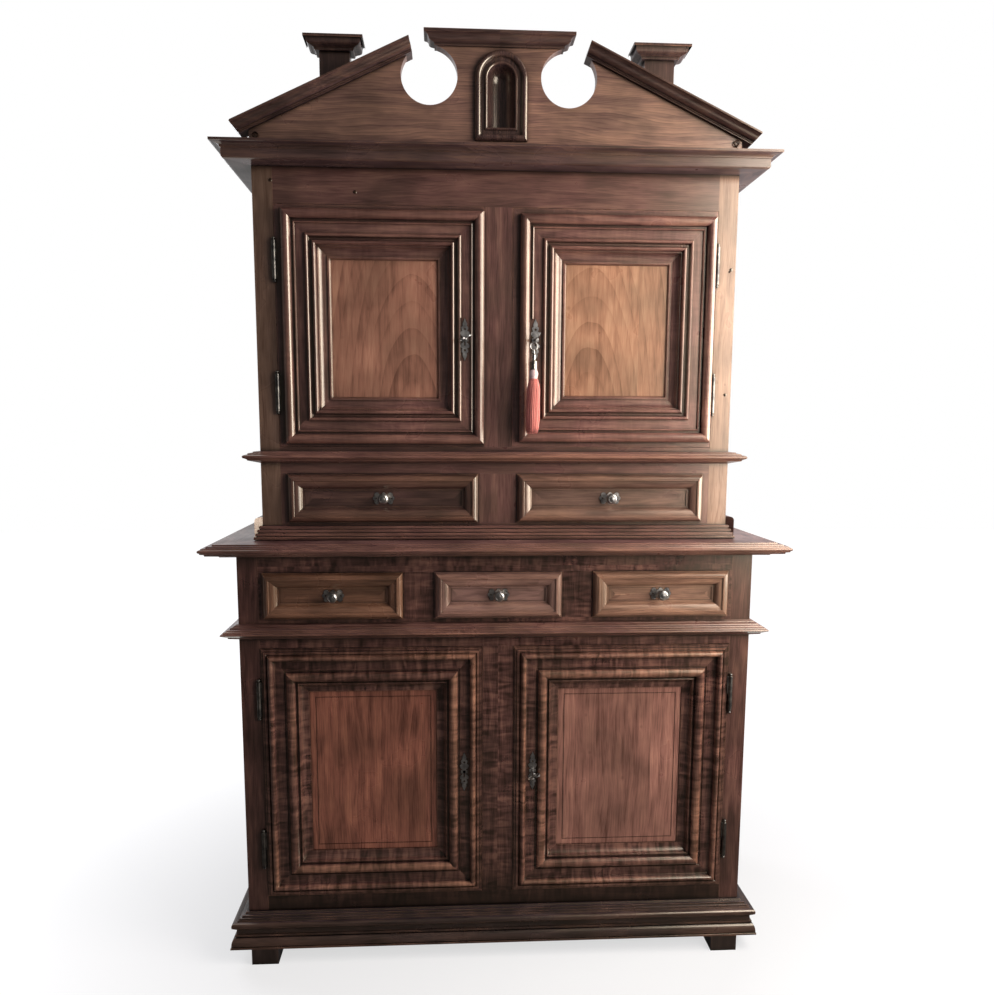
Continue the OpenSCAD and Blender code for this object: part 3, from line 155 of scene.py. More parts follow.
def ringed(t, along, cut, heart, ring, figure, seed):
    """Growth rings, ring apart: circles round a heart that lies behind the board and slants
    away from it, wavering as the tree did. The tone falls in each ring's late wood."""
    slow = add(t, "ShaderNodeVectorMath", {0: cut, 1: (7.0, 7.0, 1.8)}, operation="MULTIPLY")[0]
    sway = add(t, "ShaderNodeTexNoise", {"Vector": slow, "Scale": 1.0, "Detail": 3.0,
                                         "Roughness": 0.5})[0]
    parted = add(t, "ShaderNodeSeparateXYZ", {0: along})
    heart_x, heart_z, deep, slant = heart or (0.9 + 0.1 * math.sin(seed * 5), 0.0, 0.12, 0.05)
    across = add(t, "ShaderNodeMath", {0: parted["X"], 1: heart_x}, operation="SUBTRACT")[0]
    rise = add(t, "ShaderNodeMath", {0: parted["Z"], 1: heart_z}, operation="SUBTRACT")[0]
    depth = add(t, "ShaderNodeMath", {0: rise, 1: slant, 2: deep}, operation="MULTIPLY_ADD")[0]
    arm = add(t, "ShaderNodeCombineXYZ", {0: across, 1: depth, 2: 0.0})[0]
    radius = add(t, "ShaderNodeVectorMath", {0: arm}, operation="LENGTH")[1]
    radius = add(t, "ShaderNodeMath", {0: sway, 1: 0.02 if heart else 0.10, 2: radius},
                 operation="MULTIPLY_ADD")[0]
    turn = add(t, "ShaderNodeMath", {0: radius, 1: ring}, operation="DIVIDE")[0]
    within = add(t, "ShaderNodeMath", {0: turn}, operation="FRACT")[0]
    year = add(t, "ShaderNodeMath", {0: turn}, operation="FLOOR")[0]
    vein = add(t, "ShaderNodeMath", {0: within, 1: 3.0}, operation="POWER")[0]
    season = add(t, "ShaderNodeTexWhiteNoise", {"W": year}, noise_dimensions="1D")[0]
    # The rings add 0.15 of the figure on average, and the pores and streaks that come later
    # 1.15; both are taken off here, so that the tone stays about 0.5.
    tone = add(t, "ShaderNodeMath", {0: vein, 1: -figure, 2: 0.5 - 0.15 * figure - 1.15},
               operation="MULTIPLY_ADD")[0]
    return add(t, "ShaderNodeMath", {0: season, 1: 0.8 * figure, 2: tone},
               operation="MULTIPLY_ADD")[0]


def grained(t, cut, tone):
    """Pores and streaks along the grain. The pores are dark dashes, drawn nearly 3 mm wide so
    that they still show; the streaks are about 17 mm wide and 140 mm long."""
    fine_way = add(t, "ShaderNodeVectorMath", {0: cut, 1: (360, 360, 20)}, operation="MULTIPLY")[0]
    pores = add(t, "ShaderNodeTexNoise", {"Vector": fine_way, "Scale": 1.0, "Detail": 2.0,
                                          "Roughness": 0.6})[0]
    streak_way = add(t, "ShaderNodeVectorMath", {0: cut, 1: (60, 60, 7)}, operation="MULTIPLY")[0]
    streak = add(t, "ShaderNodeTexNoise", {"Vector": streak_way, "Scale": 1.0, "Detail": 4.0,
                                           "Roughness": 0.6, "Distortion": 0.3})[0]
    tone = add(t, "ShaderNodeMath", {0: pores, 1: 0.7, 2: tone}, operation="MULTIPLY_ADD")[0]
    tone = add(t, "ShaderNodeMath", {0: streak, 1: 1.6, 2: tone}, operation="MULTIPLY_ADD")[0]
    return pores, tone


def rippled(t, cut, tone, ripple):
    """Ripple figure: bands across the grain, about 13 mm apart, bent and broken."""
    way = add(t, "ShaderNodeVectorMath", {0: cut, 1: (16, 16, 78)}, operation="MULTIPLY")[0]
    bands = add(t, "ShaderNodeTexNoise", {"Vector": way, "Scale": 1.0, "Detail": 1.0,
                                          "Roughness": 0.4, "Distortion": 0.9})[0]
    tone = add(t, "ShaderNodeMath", {0: bands, 1: ripple, 2: tone}, operation="MULTIPLY_ADD")[0]
    return add(t, "ShaderNodeMath", {0: tone, 1: ripple * 0.5}, operation="SUBTRACT")[0]


def shaded(t, patch, shift, xyz, jointed, painted_light_ramp):
    """How light each spot is. The boards of a jointed piece differ a little, and a piece with a
    painted light ramp is painted lighter towards one side or one end, as painted light and shade."""
    shade = add(t, "ShaderNodeMapRange", {0: patch, 1: 0.30, 2: 0.70, 3: 0.66, 4: 1.34})[0]
    if jointed:
        differ = add(t, "ShaderNodeTexWhiteNoise", {"W": shift}, noise_dimensions="1D")[0]
        differ = add(t, "ShaderNodeMapRange", {0: differ, 1: 0.0, 2: 1.0, 3: 0.88, 4: 1.12})[0]
        shade = add(t, "ShaderNodeMath", {0: shade, 1: differ}, operation="MULTIPLY")[0]
    if painted_light_ramp:
        axis, start, end, before, after = painted_light_ramp
        painted_ramp = add(t, "ShaderNodeMapRange", {0: xyz[axis], 1: start, 2: end, 3: before,
                                             4: after})[0]
        shade = add(t, "ShaderNodeMath", {0: shade, 1: painted_ramp}, operation="MULTIPLY")[0]
    return shade


# The pale tan that hands and cloths have rubbed the walnut to; on proud mouldings it also serves
# as painted highlight.
WORN_AND_HIGHLIT = linear("#a87c66")


def rubbed_and_highlit(t, colour, cut, outward, tone, shade, near, far, amount):
    """What stands forward is painted pale, partly as rubbing by hands and partly as painted
    highlight, from nothing at near to the whole amount at far, in long patches."""
    proud = add(t, "ShaderNodeMapRange", {0: outward, 1: near, 2: far, 3: 0.0, 4: amount})[0]
    way = add(t, "ShaderNodeVectorMath", {0: cut, 1: (9, 9, 2.5)}, operation="MULTIPLY")[0]
    spread = add(t, "ShaderNodeTexNoise", {"Vector": way, "Scale": 1.0, "Detail": 3.0})[0]
    spread = add(t, "ShaderNodeMapRange", {0: spread, 1: 0.42, 2: 0.60, 3: 0.12, 4: 1.0})[0]
    proud = add(t, "ShaderNodeMath", {0: proud, 1: spread}, operation="MULTIPLY")[0]
    lit = add(t, "ShaderNodeMapRange", {0: tone, 1: 0.0, 2: 1.0, 3: 0.45, 4: 1.5})[0]
    lit = add(t, "ShaderNodeMath", {0: lit, 1: shade}, operation="MULTIPLY")[0]
    pale = add(t, "ShaderNodeVectorMath", {0: WORN_AND_HIGHLIT[:3], 3: lit}, operation="SCALE")[0]
    return add(t, "ShaderNodeMix", {0: proud, 6: colour, 7: pale}, data_type="RGBA")[2]


def edge_worn(t, colour, place, hollow, wear):
    """Open edges are rubbed pale over about 2 mm, here more and there less."""
    rub = add(t, "ShaderNodeTexNoise", {"Vector": place, "Scale": 16.0, "Detail": 6.0})[0]
    soft = add(t, "ShaderNodeBevel", {"Radius": 0.0022}, samples=6)[0]
    true = add(t, "ShaderNodeNewGeometry")["Normal"]
    match = add(t, "ShaderNodeVectorMath", {0: soft, 1: true}, operation="DOT_PRODUCT")[1]
    edge = add(t, "ShaderNodeMapRange", {0: match, 1: 0.985, 2: 0.86, 3: 0.0, 4: wear})[0]
    open_edge = add(t, "ShaderNodeMapRange", {0: hollow, 1: 0.6, 2: 0.92, 3: 0.0, 4: 1.0})[0]
    rubbed = add(t, "ShaderNodeMapRange", {0: rub, 1: 0.40, 2: 0.60, 3: 0.1, 4: 1.0})[0]
    edge = add(t, "ShaderNodeMath", {0: edge, 1: open_edge}, operation="MULTIPLY")[0]
    edge = add(t, "ShaderNodeMath", {0: edge, 1: rubbed}, operation="MULTIPLY")[0]
    return add(t, "ShaderNodeMix", {0: edge, 6: colour, 7: WORN_AND_HIGHLIT}, data_type="RGBA")[2]


def wax(t, colour, patch, cut, pores, polish):
    """The surface of the walnut: polish is its roughness, and its wax lies unevenly."""
    rough = add(t, "ShaderNodeMapRange", {0: patch, 1: 0.3, 2: 0.7, 3: polish + 0.08,
                                          4: polish - 0.05})[0]
    # Planed by hand: the face rises and falls every 40 mm or so, and the pores lie open.
    uneven = add(t, "ShaderNodeTexNoise", {"Vector": cut, "Scale": 24.0, "Detail": 1.0})[0]
    relief = add(t, "ShaderNodeMath", {0: pores, 1: 0.12, 2: uneven}, operation="MULTIPLY_ADD")[0]
    bump = add(t, "ShaderNodeBump", {"Strength": 0.35, "Distance": 0.0012, "Height": relief})[0]
    # The faces to the room are polished; sides, tops and undersides were left dull. The wax
    # glows pale yellow where it throws the window back.
    turned_to = add(t, "ShaderNodeSeparateXYZ", {0: add(t, "ShaderNodeTexCoord")["Normal"]})["Y"]
    front = add(t, "ShaderNodeMapRange", {0: turned_to, 1: -0.08, 2: -0.4, 3: 0.0, 4: 1.0})[0]
    level = add(t, "ShaderNodeMapRange", {0: front, 1: 0.0, 2: 1.0, 3: 0.12, 4: 0.9})[0]
    shader = add(t, "ShaderNodeBsdfPrincipled", {
        "Base Color": colour, "Roughness": rough, "Normal": bump, "IOR": 1.5,
        "Specular IOR Level": level, "Specular Tint": linear("#fff2d4"), "Coat Weight": front,
        "Coat Roughness": 0.22, "Coat IOR": 1.6, "Coat Tint": linear("#fff8ea")})[0]
    add(t, "ShaderNodeOutputMaterial", {"Surface": shader})


def walnut(name, colours, grain="z", parts=None, heart=None, ring=0.0055, figure=0.2, ripple=0.0,
           wear=0.5, proud_rub_and_highlight=None, polish=0.30, painted_light_ramp=None, joints=(), knots=0.0, seed=0.0):
    """Waxed walnut: colours are its dark veins, body and light wood, grain is the way it runs.

    parts tells the boards of a joined piece apart, joints are where its boards meet, heart is
    where the tree's middle lay behind the board, which turns the growth rings into arches on
    its face, and ring is how far apart they are, in metres. figure, ripple, wear and knots say
    how strong each is, and polish is the roughness. proud_rub_and_highlight is between which
    depths a moulding is painted pale, partly as rubbing by hands and partly as painted
    highlight, and how much. painted_light_ramp is an axis, two places on it and the tone at
    each: painted light and shade that makes a piece lighter towards one side or one end."""
    dark, body, light = (linear(c) for c in colours)
    mat, t = blank(name)
    place = add(t, "ShaderNodeTexCoord")["Object"]
    xyz, along, board, outward = laid(t, place, grain, parts)
    for joint in joints:
        past = add(t, "ShaderNodeMath", {0: xyz["X"], 1: joint}, operation="GREATER_THAN")[0]
        board = add(t, "ShaderNodeMath", {0: past, 1: board}, operation="ADD")[0]
    shift = add(t, "ShaderNodeMath", {0: board, 1: 1.37, 2: seed}, operation="MULTIPLY_ADD")[0]
    shifts = add(t, "ShaderNodeCombineXYZ", {0: shift, 1: shift, 2: shift})[0]
    cut = add(t, "ShaderNodeVectorMath", {0: along, 1: shifts}, operation="ADD")[0]

    # The tone is 0 in the veins, 0.5 in the body and 1 in the light wood.
    tone = ringed(t, along, cut, heart, ring, figure, seed)
    pores, tone = grained(t, cut, tone)
    if ripple:
        tone = rippled(t, cut, tone, ripple)
    low = add(t, "ShaderNodeMapRange", {0: tone, 1: 0.0, 2: 0.5, 3: 0.0, 4: 1.0})[0]
    high = add(t, "ShaderNodeMapRange", {0: tone, 1: 0.5, 2: 1.0, 3: 0.0, 4: 1.0})[0]
    colour = add(t, "ShaderNodeMix", {0: low, 6: dark, 7: body}, data_type="RGBA")[2]
    colour = add(t, "ShaderNodeMix", {0: high, 6: colour, 7: light}, data_type="RGBA")[2]

    # Old polish lies unevenly: patches about 140 mm wide are darker or paler.
    patch = add(t, "ShaderNodeTexNoise", {"Vector": cut, "Scale": 7.0, "Detail": 3.0})[0]
    shade = shaded(t, patch, shift, xyz, joints or parts, painted_light_ramp)
    colour = add(t, "ShaderNodeVectorMath", {0: colour, 3: shade}, operation="SCALE")[0]
    if knots:
        # Small knots, up to 13 mm wide and about 70 mm apart.
        spot = add(t, "ShaderNodeTexVoronoi", {"Vector": place, "Scale": 15.0}, feature="F1")[0]
        knot = add(t, "ShaderNodeMapRange", {0: spot, 1: 0.03, 2: 0.10, 3: knots, 4: 0.0})[0]
        colour = add(t, "ShaderNodeMix", {0: knot, 6: colour, 7: dark}, data_type="RGBA")[2]
    # Proud mouldings are painted pale, partly as rubbing and partly as painted highlight.
    if proud_rub_and_highlight:
        colour = rubbed_and_highlit(t, colour, cut, outward, tone, shade, *proud_rub_and_highlight)
    # Wax and dust blacken the hollows, and the hollows are darkened further, down to 0.08, as
    # painted shade.
    hollow = add(t, "ShaderNodeAmbientOcclusion", {"Distance": 0.018}, samples=8)["AO"]
    grime_and_painted_shade = add(t, "ShaderNodeMapRange", {0: hollow, 1: 0.45, 2: 0.90, 3: 0.08, 4: 1.0})[0]
    colour = add(t, "ShaderNodeVectorMath", {0: colour, 3: grime_and_painted_shade}, operation="SCALE")[0]
    if wear:
        colour = edge_worn(t, colour, place, hollow, wear)
    wax(t, colour, patch, cut, pores, polish)
    return mat


def raw_timber(name, colours, grain, seed):
    """Unfinished oak and poplar of the inside: dry, paler, with open streaks 6 mm wide."""
    mat, t = blank(name)
    place = add(t, "ShaderNodeTexCoord")["Object"]
    stretch = {"x": (4, 160, 160), "y": (160, 4, 160), "z": (160, 160, 4)}[grain]
    way = add(t, "ShaderNodeVectorMath", {0: place, 1: stretch}, operation="MULTIPLY")[0]
    streak = add(t, "ShaderNodeTexNoise", {"Vector": way, "Scale": 1.0, "Detail": 4.0,
                                           "Roughness": 0.6})[0]
    stain = add(t, "ShaderNodeTexNoise", {"Vector": place, "Scale": 5.0 + seed, "Detail": 3.0})[0]
    mixed = add(t, "ShaderNodeMath", {0: stain, 1: 0.6, 2: streak}, operation="MULTIPLY_ADD")[0]
    ramp = add(t, "ShaderNodeMapRange", {0: mixed, 1: 0.55, 2: 1.1, 3: 0.0, 4: 1.0})[0]
    colour = add(t, "ShaderNodeMix", {0: ramp, 6: linear(colours[0]), 7: linear(colours[1])},
                 data_type="RGBA")[2]
    bump = add(t, "ShaderNodeBump", {"Strength": 0.3, "Distance": 0.001, "Height": streak})[0]
    shader = add(t, "ShaderNodeBsdfPrincipled", {
        "Base Color": colour, "Roughness": 0.72, "Normal": bump, "Specular IOR Level": 0.3})[0]
    add(t, "ShaderNodeOutputMaterial", {"Surface": shader})
    return mat


def forged_iron(name, base, light, roughness):
    """Hand-worked iron or steel, clouded every 17 mm or so between scale and rubbed metal.

    Its pits are finer than they can show, and are drawn over 2 mm wide."""
    mat, t = blank(name)
    place = add(t, "ShaderNodeTexCoord")["Object"]
    pits = add(t, "ShaderNodeTexNoise", {"Vector": place, "Scale": 420.0, "Detail": 3.0})[0]
    cloud = add(t, "ShaderNodeTexNoise", {"Vector": place, "Scale": 60.0, "Detail": 3.0})[0]
    ramp = add(t, "ShaderNodeMapRange", {0: cloud, 1: 0.35, 2: 0.65, 3: 0.0, 4: 1.0})[0]
    colour = add(t, "ShaderNodeMix", {0: ramp, 6: linear(base), 7: linear(light)},
                 data_type="RGBA")[2]
    rough = add(t, "ShaderNodeMapRange", {0: pits, 1: 0.3, 2: 0.7, 3: roughness - 0.1,
                                          4: roughness + 0.12})[0]
    bump = add(t, "ShaderNodeBump", {"Strength": 0.4, "Distance": 0.0006, "Height": pits})[0]
    shader = add(t, "ShaderNodeBsdfPrincipled", {
        "Base Color": colour, "Roughness": rough, "Metallic": 1.0, "Normal": bump})[0]
    add(t, "ShaderNodeOutputMaterial", {"Surface": shader})
    return mat


def spun_silk(name, shade, body, glow):
    """Silk floss: strands about 1 mm wide, with painted shade in the folds and a soft sheen."""
    mat, t = blank(name)
    place = add(t, "ShaderNodeTexCoord")["Object"]
    way = add(t, "ShaderNodeVectorMath", {0: place, 1: (900, 900, 18)}, operation="MULTIPLY")[0]
    strand = add(t, "ShaderNodeTexNoise", {"Vector": way, "Scale": 1.0, "Detail": 2.0})[0]
    ramp = add(t, "ShaderNodeMapRange", {0: strand, 1: 0.3, 2: 0.7, 3: 0.0, 4: 1.0})[0]
    colour = add(t, "ShaderNodeMix", {0: ramp, 6: linear(body), 7: linear(glow)},
                 data_type="RGBA")[2]
    # Painted shade: the folds, found by their occlusion, are darkened to the shade colour.
    fold = add(t, "ShaderNodeAmbientOcclusion", {"Distance": 0.006}, samples=6)["AO"]
    deep = add(t, "ShaderNodeMapRange", {0: fold, 1: 0.2, 2: 0.8, 3: 0.0, 4: 1.0})[0]
    colour = add(t, "ShaderNodeMix", {0: deep, 6: linear(shade), 7: colour},
                 data_type="RGBA")[2]
    shader = add(t, "ShaderNodeBsdfPrincipled", {
        "Base Color": colour, "Roughness": 0.55, "Sheen Weight": 0.35, "Sheen Roughness": 0.4,
        "Specular IOR Level": 0.3})[0]
    add(t, "ShaderNodeOutputMaterial", {"Surface": shader})
    return mat


def framed(node):
    """Middle and half sides of a framed piece, for the mitres of its grain."""
    lo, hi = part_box(node)
    return ((lo.x + hi.x) / 2, (lo.z + hi.z) / 2, (hi.x - lo.x) / 2, (hi.z - lo.z) / 2)


def dress(material, *nodes):
    """Give CAD nodes one material."""
    for node in nodes:
        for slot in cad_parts[node].material_slots:
            slot.material = material


# Colours of the walnut: dark veins, body, light wood. POST is paler than the rest, as painted
# light on the upper posts from the right.
UPPER = ("#3c2427", "#694a48", "#87655c")
LOWER = ("#281714", "#563a38", "#7a584f")
SIDES = ("#3c2822", "#604438", "#7e5e4e")
POST = ("#6e4e42", "#a08070", "#bc9a88")
PEDIMENT = ("#50383a", "#7a5e56", "#9c7a6a")
DARKENED = ("#26181a", "#4a3839", "#654d45")
BLACKENED = ("#141011", "#302729", "#4a3d3b")
# The half width and the face that the mouldings go round, above and below.
round_upper, round_lower = (UPPER_HALF, UPPER_FACE), (LOWER_HALF, LOWER_FACE)

# The waxed pieces of the carcass: each node's finish, colours and grain, and what else sets it
# apart. The proud parts of the mouldings are painted pale, partly as rubbing and partly as painted
# highlight.
CARCASS = {
    "feet": ("blackened walnut of the feet", BLACKENED, "z", dict(seed=3.1)),
    "base_moulding": ("blackened walnut of the base", BLACKENED, "wrap", dict(
        parts=round_lower, wear=0.9, seed=5.2, proud_rub_and_highlight=(0.02, 0.05, 0.2))),
    "lower_posts": ("dark walnut of the lower posts", LOWER, "z", dict(
        parts=HALVES, seed=1.7)),
    # Painted shade: the lower front is painted darker towards the bottom, down to a tenth at its
    # foot.
    "lower_front_frame": ("rippled walnut of the lower front", LOWER, "rails", dict(
        parts=LOWER_UPRIGHTS, ripple=1.6, painted_light_ramp=("Z", 0.12, 0.30, 0.10, 1.05), seed=7.9)),
    "side_rails": ("waxed walnut of the side rails", SIDES, "y", dict(seed=2.2)),
    "side_panels": ("waxed walnut of the side panels", SIDES, "z", dict(
        parts=HALVES, seed=6.4)),
    "mid_moulding": ("waxed walnut of the middle moulding", UPPER, "wrap", dict(
        parts=round_lower, seed=4.8, wear=0.9, proud_rub_and_highlight=(0.02, 0.05, 0.35))),
    "waist_top": ("waxed walnut of the waist", UPPER, "wrap", dict(
        parts=round_lower, seed=8.3, wear=0.9, proud_rub_and_highlight=(0.03, 0.07, 0.2))),
    # Painted light: the upper posts are painted paler from left to right.
    "upper_posts": ("faded walnut of the upper posts", POST, "z", dict(
        parts=HALVES, seed=9.6, painted_light_ramp=("X", -0.4, 0.4, 0.45, 0.86))),
    # Painted light: the upper front is painted a little paler from left to right.
    "upper_front_frame": ("waxed walnut of the upper front", UPPER, "rails", dict(
        parts=UPPER_UPRIGHTS, seed=0.6, painted_light_ramp=("X", -0.5, 0.5, 0.82, 0.98))),
    "upper_socle": ("waxed walnut of the socle", UPPER, "wrap", dict(
        parts=round_upper, seed=2.9, wear=0.9, proud_rub_and_highlight=(0.01, 0.03, 0.3))),
    "belt_moulding": ("waxed walnut of the belt moulding", UPPER, "wrap", dict(
        parts=round_upper, seed=3.6, wear=0.9, proud_rub_and_highlight=(0.015, 0.04, 0.35))),
    # Painted light: the cornice is painted paler from left to right.
    "cornice": ("waxed walnut of the cornice", DARKENED, "wrap", dict(
        parts=round_upper, seed=5.7, wear=0.7, painted_light_ramp=("X", -0.5, 0.5, 0.88, 1.12))),
    # Painted light: the pediment board is painted paler from left to right.
    "tympanum": ("figured walnut of the pediment board", PEDIMENT, "x", dict(
        figure=0.35, painted_light_ramp=("X", -0.5, 0.4, 0.78, 1.35), seed=1.1)),
    "pediment_mouldings": ("dark walnut of the pediment mouldings", DARKENED, "x", dict(
        seed=6.9)),
    "niche": ("dark walnut of the niche", DARKENED, "z", dict(seed=7.2, wear=0.9, polish=0.22)),
    "side_plinths": ("dark walnut of the side plinths", DARKENED, "z", dict(seed=8.8))}
for node, (finish, colours, grain, rest) in CARCASS.items():
    dress(walnut(finish, colours, grain, **rest), node)

# The door frames: above, what stands 9 to 17 mm out of the face is painted pale, and below 6 to 14
# mm, partly as rubbing by hands and partly as painted highlight. The upper frames are painted
# paler from left to right, as painted light from the right.
for i, place in enumerate(("upper_left", "upper_right", "lower_left", "lower_right")):
    top = place.startswith("upper")
    node = place + "_door_frame"
    face = -UPPER_FACE if top else -LOWER_FACE
    rubbed = (face + 0.009, face + 0.017, 0.15) if top else (face + 0.006, face + 0.014, 0.5)
    dress(walnut("waxed walnut of the " + place.replace("_", " ") + " door frame",
                 UPPER if top else LOWER, "frame", framed(node), seed=2.3 * i + 0.4,
                 ripple=0.4 if top else 2.0, proud_rub_and_highlight=rubbed, wear=0.8,
                 painted_light_ramp=("X", -0.6, 0.6, 0.82, 1.34) if top else None), node)
# Each panel's colours, its heart, its boards' joints and its seed. A panel cut near the heart
# shows wider rings. The right-hand panels are a little paler, as painted light from the right.
UPPER_HEARTS = ((-0.215, 1.30, 0.0, 0.28), (0.235, 1.32, 0.0, 0.28))
PANELS = {"upper_left": (("#6a463c", "#9e7060", "#b48874"), UPPER_HEARTS[0], (), 3.4),
          "upper_right": (("#74503f", "#a27862", "#bc947a"), UPPER_HEARTS[1], (0.36,), 8.7),
          "lower_left": (("#4c2a24", "#88564a", "#aa725e"), None, (-0.43, -0.19), 5.5),
          "lower_right": (("#5a3834", "#926860", "#b08274"), None, (0.41,), 1.3)}
for place, (colours, heart, joints, seed) in PANELS.items():
    dress(walnut("figured walnut of the " + place.replace("_", " ") + " panel", colours, "z",
                 heart=heart, ring=0.018 if heart else 0.007, figure=0.25, joints=joints,
                 wear=0.0, seed=seed, knots=0.4), place + "_door_panel")
# Each drawer's dark veins, body and light wood. The drawers on the left are painted darker and
# those on the right paler, as painted light from the right, and their proud mouldings are painted
# pale, partly as rubbing and partly as painted highlight.
DRAWERS = {"upper_left": ("#2a1a1b", "#4a3534", "#684e46"),
           "upper_right": ("#402c2a", "#6c544e", "#8c6e62"),
           "lower_left": ("#3e2a22", "#6a4c3e", "#8a6854"),
           "lower_middle": ("#523c38", "#886a66", "#a68478"),
           "lower_right": ("#543c34", "#8e6e60", "#b08c76")}
for i, (place, colours) in enumerate(DRAWERS.items()):
    node = place + "_drawer_front"
    face = -UPPER_FACE if place.startswith("upper") else -LOWER_FACE
    dress(walnut("waxed walnut of the " + place.replace("_", " ") + " drawer", colours, "frame",
                 framed(node), seed=1.9 * i + 0.9, wear=0.8,
                 proud_rub_and_highlight=(face + 0.008, face + 0.016, 0.3)), node)
    dress(raw_timber("planed oak of the " + place.replace("_", " ") + " drawer box",
                     ("#7a5a3c", "#b89468"), "y", 0.3 * i), place + "_drawer_box")
dress(raw_timber("rough poplar of the back", ("#54443a", "#907860"), "z", 0.2), "back_boards")
dress(raw_timber("planed oak of the shelves", ("#6a4e34", "#a88458"), "x", 0.7), "boards")
dress(raw_timber("planed oak of the guides", ("#6a4e34", "#a07c52"), "y", 1.1), "runners")

hinge_iron = forged_iron("forged iron of the hinges", "#5a5856", "#8c8880", 0.4)
plate_iron = forged_iron("filed iron of the key plates and locks", "#8c8a88", "#dcdad6", 0.38)
knob_iron = forged_iron("turned iron of the pulls", "#8e8c8a", "#ccc8c2", 0.34)
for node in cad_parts:
    if node == "hinge_pins" or node.endswith("_hinges"):
        dress(hinge_iron, node)
    elif node.endswith(("_lock", "_bolt", "_key")):
        dress(plate_iron, node)
    elif node.endswith("_pull"):
        dress(knob_iron, node)


def piece(name, verts, faces, material, body):
    """Make a smooth mesh piece that rides on a body."""
    mesh = bpy.data.meshes.new(name)
    mesh.from_pydata([tuple(v) for v in verts], [], faces)
    mesh.update()
    for p in mesh.polygons:
        p.use_smooth = True
    obj = bpy.data.objects.new(name, mesh)
    obj.data.materials.append(material)
    bpy.context.scene.collection.objects.link(obj)
    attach(obj, body)
    return obj


def skin(rows, sides, closed=False):
    """Faces between rings of points, and from the last ring to the first if closed."""
    faces = []
    for i in range(rows if closed else rows - 1):
        j = (i + 1) % rows
        for k in range(sides):
            k2 = (k + 1) % sides
            faces.append((i * sides + k, i * sides + k2, j * sides + k2, j * sides + k))
    return faces


def ends(rows, sides):
    """The two flat ends of a skin."""
    last = (rows - 1) * sides
    return [tuple(range(sides - 1, -1, -1)), tuple(last + k for k in range(sides))]


def turned(profile, sides, centre=(0, 0, 0)):
    """Points and faces of a piece turned about Z from (radius, height) pairs."""
    verts = []
    for r, h in profile:
        for k in range(sides):
            a = 2 * math.pi * k / sides
            verts.append((centre[0] + r * math.cos(a), centre[1] + r * math.sin(a),
                          centre[2] + h))
    return verts, skin(len(profile), sides) + ends(len(profile), sides)


def swept(path, radii, sides, closed=False):
    """Points and faces of a round strand along a path."""
    verts = []
    count = len(path)
    for i, p in enumerate(path):
        a = path[(i - 1) % count] if closed or i else p
        b = path[(i + 1) % count] if closed or i < count - 1 else p
        way = (b - a).normalized()
        ref = Vector((0, 1, 0)) if abs(way.y) < 0.9 else Vector((1, 0, 0))
        u = way.cross(ref).normalized()
        v = way.cross(u)
        for k in range(sides):
            ang = 2 * math.pi * k / sides
            verts.append(p + (u * math.cos(ang) + v * math.sin(ang)) * radii[i])
    faces = skin(count, sides, closed)
    if not closed:
        faces += ends(count, sides)
    return verts, faces


WIRE_SIDES = 10


def wire_ring(x, y, z, radius, wire, points):
    """Points and faces of a round wire ring that faces the room."""
    path = []
    for k in range(points):
        a = 2 * math.pi * k / points
        path.append(Vector((x + radius * math.sin(a), y, z + radius * math.cos(a))))
    return swept(path, [wire] * points, WIRE_SIDES, closed=True)


# The tassel of the upper right key: a ring, its stem, a ferrule, the wound head and the skirt.
# Its sizes are in metres, and its profiles are radii with their heights over the stem's foot.
RING_R, RING_WIRE, RING_DROP, RING_POINTS = 0.009, 0.0014, 0.0104, 40
STEM = ((0.0, 0.0265), (0.0021, 0.026), (0.0023, 0.0215), (0.0021, 0.017), (0.0035, 0.016),
        (0.0050, 0.013), (0.0053, 0.010), (0.0048, 0.0065), (0.0036, 0.0035), (0.0045, 0.0))
STEM_LENGTH, STEM_SIDES, FERRULE_SIDES = 0.026, 32, 40
FERRULE = ((0.0055, 0.0), (0.0080, -0.0008), (0.0085, -0.002), (0.0080, -0.0032),
           (0.0080, -0.019), (0.0086, -0.0205), (0.0086, -0.022), (0.0078, -0.023))
HEAD = ((0.0078, -0.0225), (0.0098, -0.026), (0.0108, -0.031), (0.0106, -0.036),
        (0.0092, -0.0405), (0.0088, -0.0425), (0.0098, -0.0450))
# The head's cords, how deep they show as a share of the radius, and how they slant in radians
# a metre.
HEAD_SIDES, CORDS, CORD_DEPTH, CORD_SLANT = 96, 24, 0.035, 160
SKIRT_DROP = 0.0445
# How many strands each layer of the skirt has, and how far out it lies, from 0 to 1.
LAYERS = ((44, 1.0), (30, 0.72), (18, 0.42))
STRAND_R, STRAND_END_R, STRAND_STEPS, STRAND_SIDES = 0.0013, 0.0008, 10, 6
# The skirt's radius at its top, what it gains in its first fifth and over its whole length, then
# the share of its length past which it draws in, and how steeply.
SKIRT_R, SWELL, SPREAD = 0.0090, 0.0060, 0.0012
DRAWN_FROM, DRAWN_IN = 0.85, 0.020
# How far the whole skirt leans to the left, how far one strand may stray, and be turned out of
# its place in radians, and between which shares of the skirt's length it ends.
LEAN, STRAY, TURNED_BY, SHORTEST, LONGEST = 0.002, 0.0008, 0.03, 0.94, 0.995


def wound_head(x, y, z):
    """Points and faces of the head: an open tube of cords wound in a slant."""
    verts = []
    for r, h in HEAD:
        for k in range(HEAD_SIDES):
            a = 2 * math.pi * k / HEAD_SIDES
            rr = r * (1 + CORD_DEPTH * math.cos(CORDS * a + CORD_SLANT * h))
            verts.append((x + rr * math.cos(a), y + rr * math.sin(a), z + h))
    return verts, skin(len(HEAD), HEAD_SIDES)


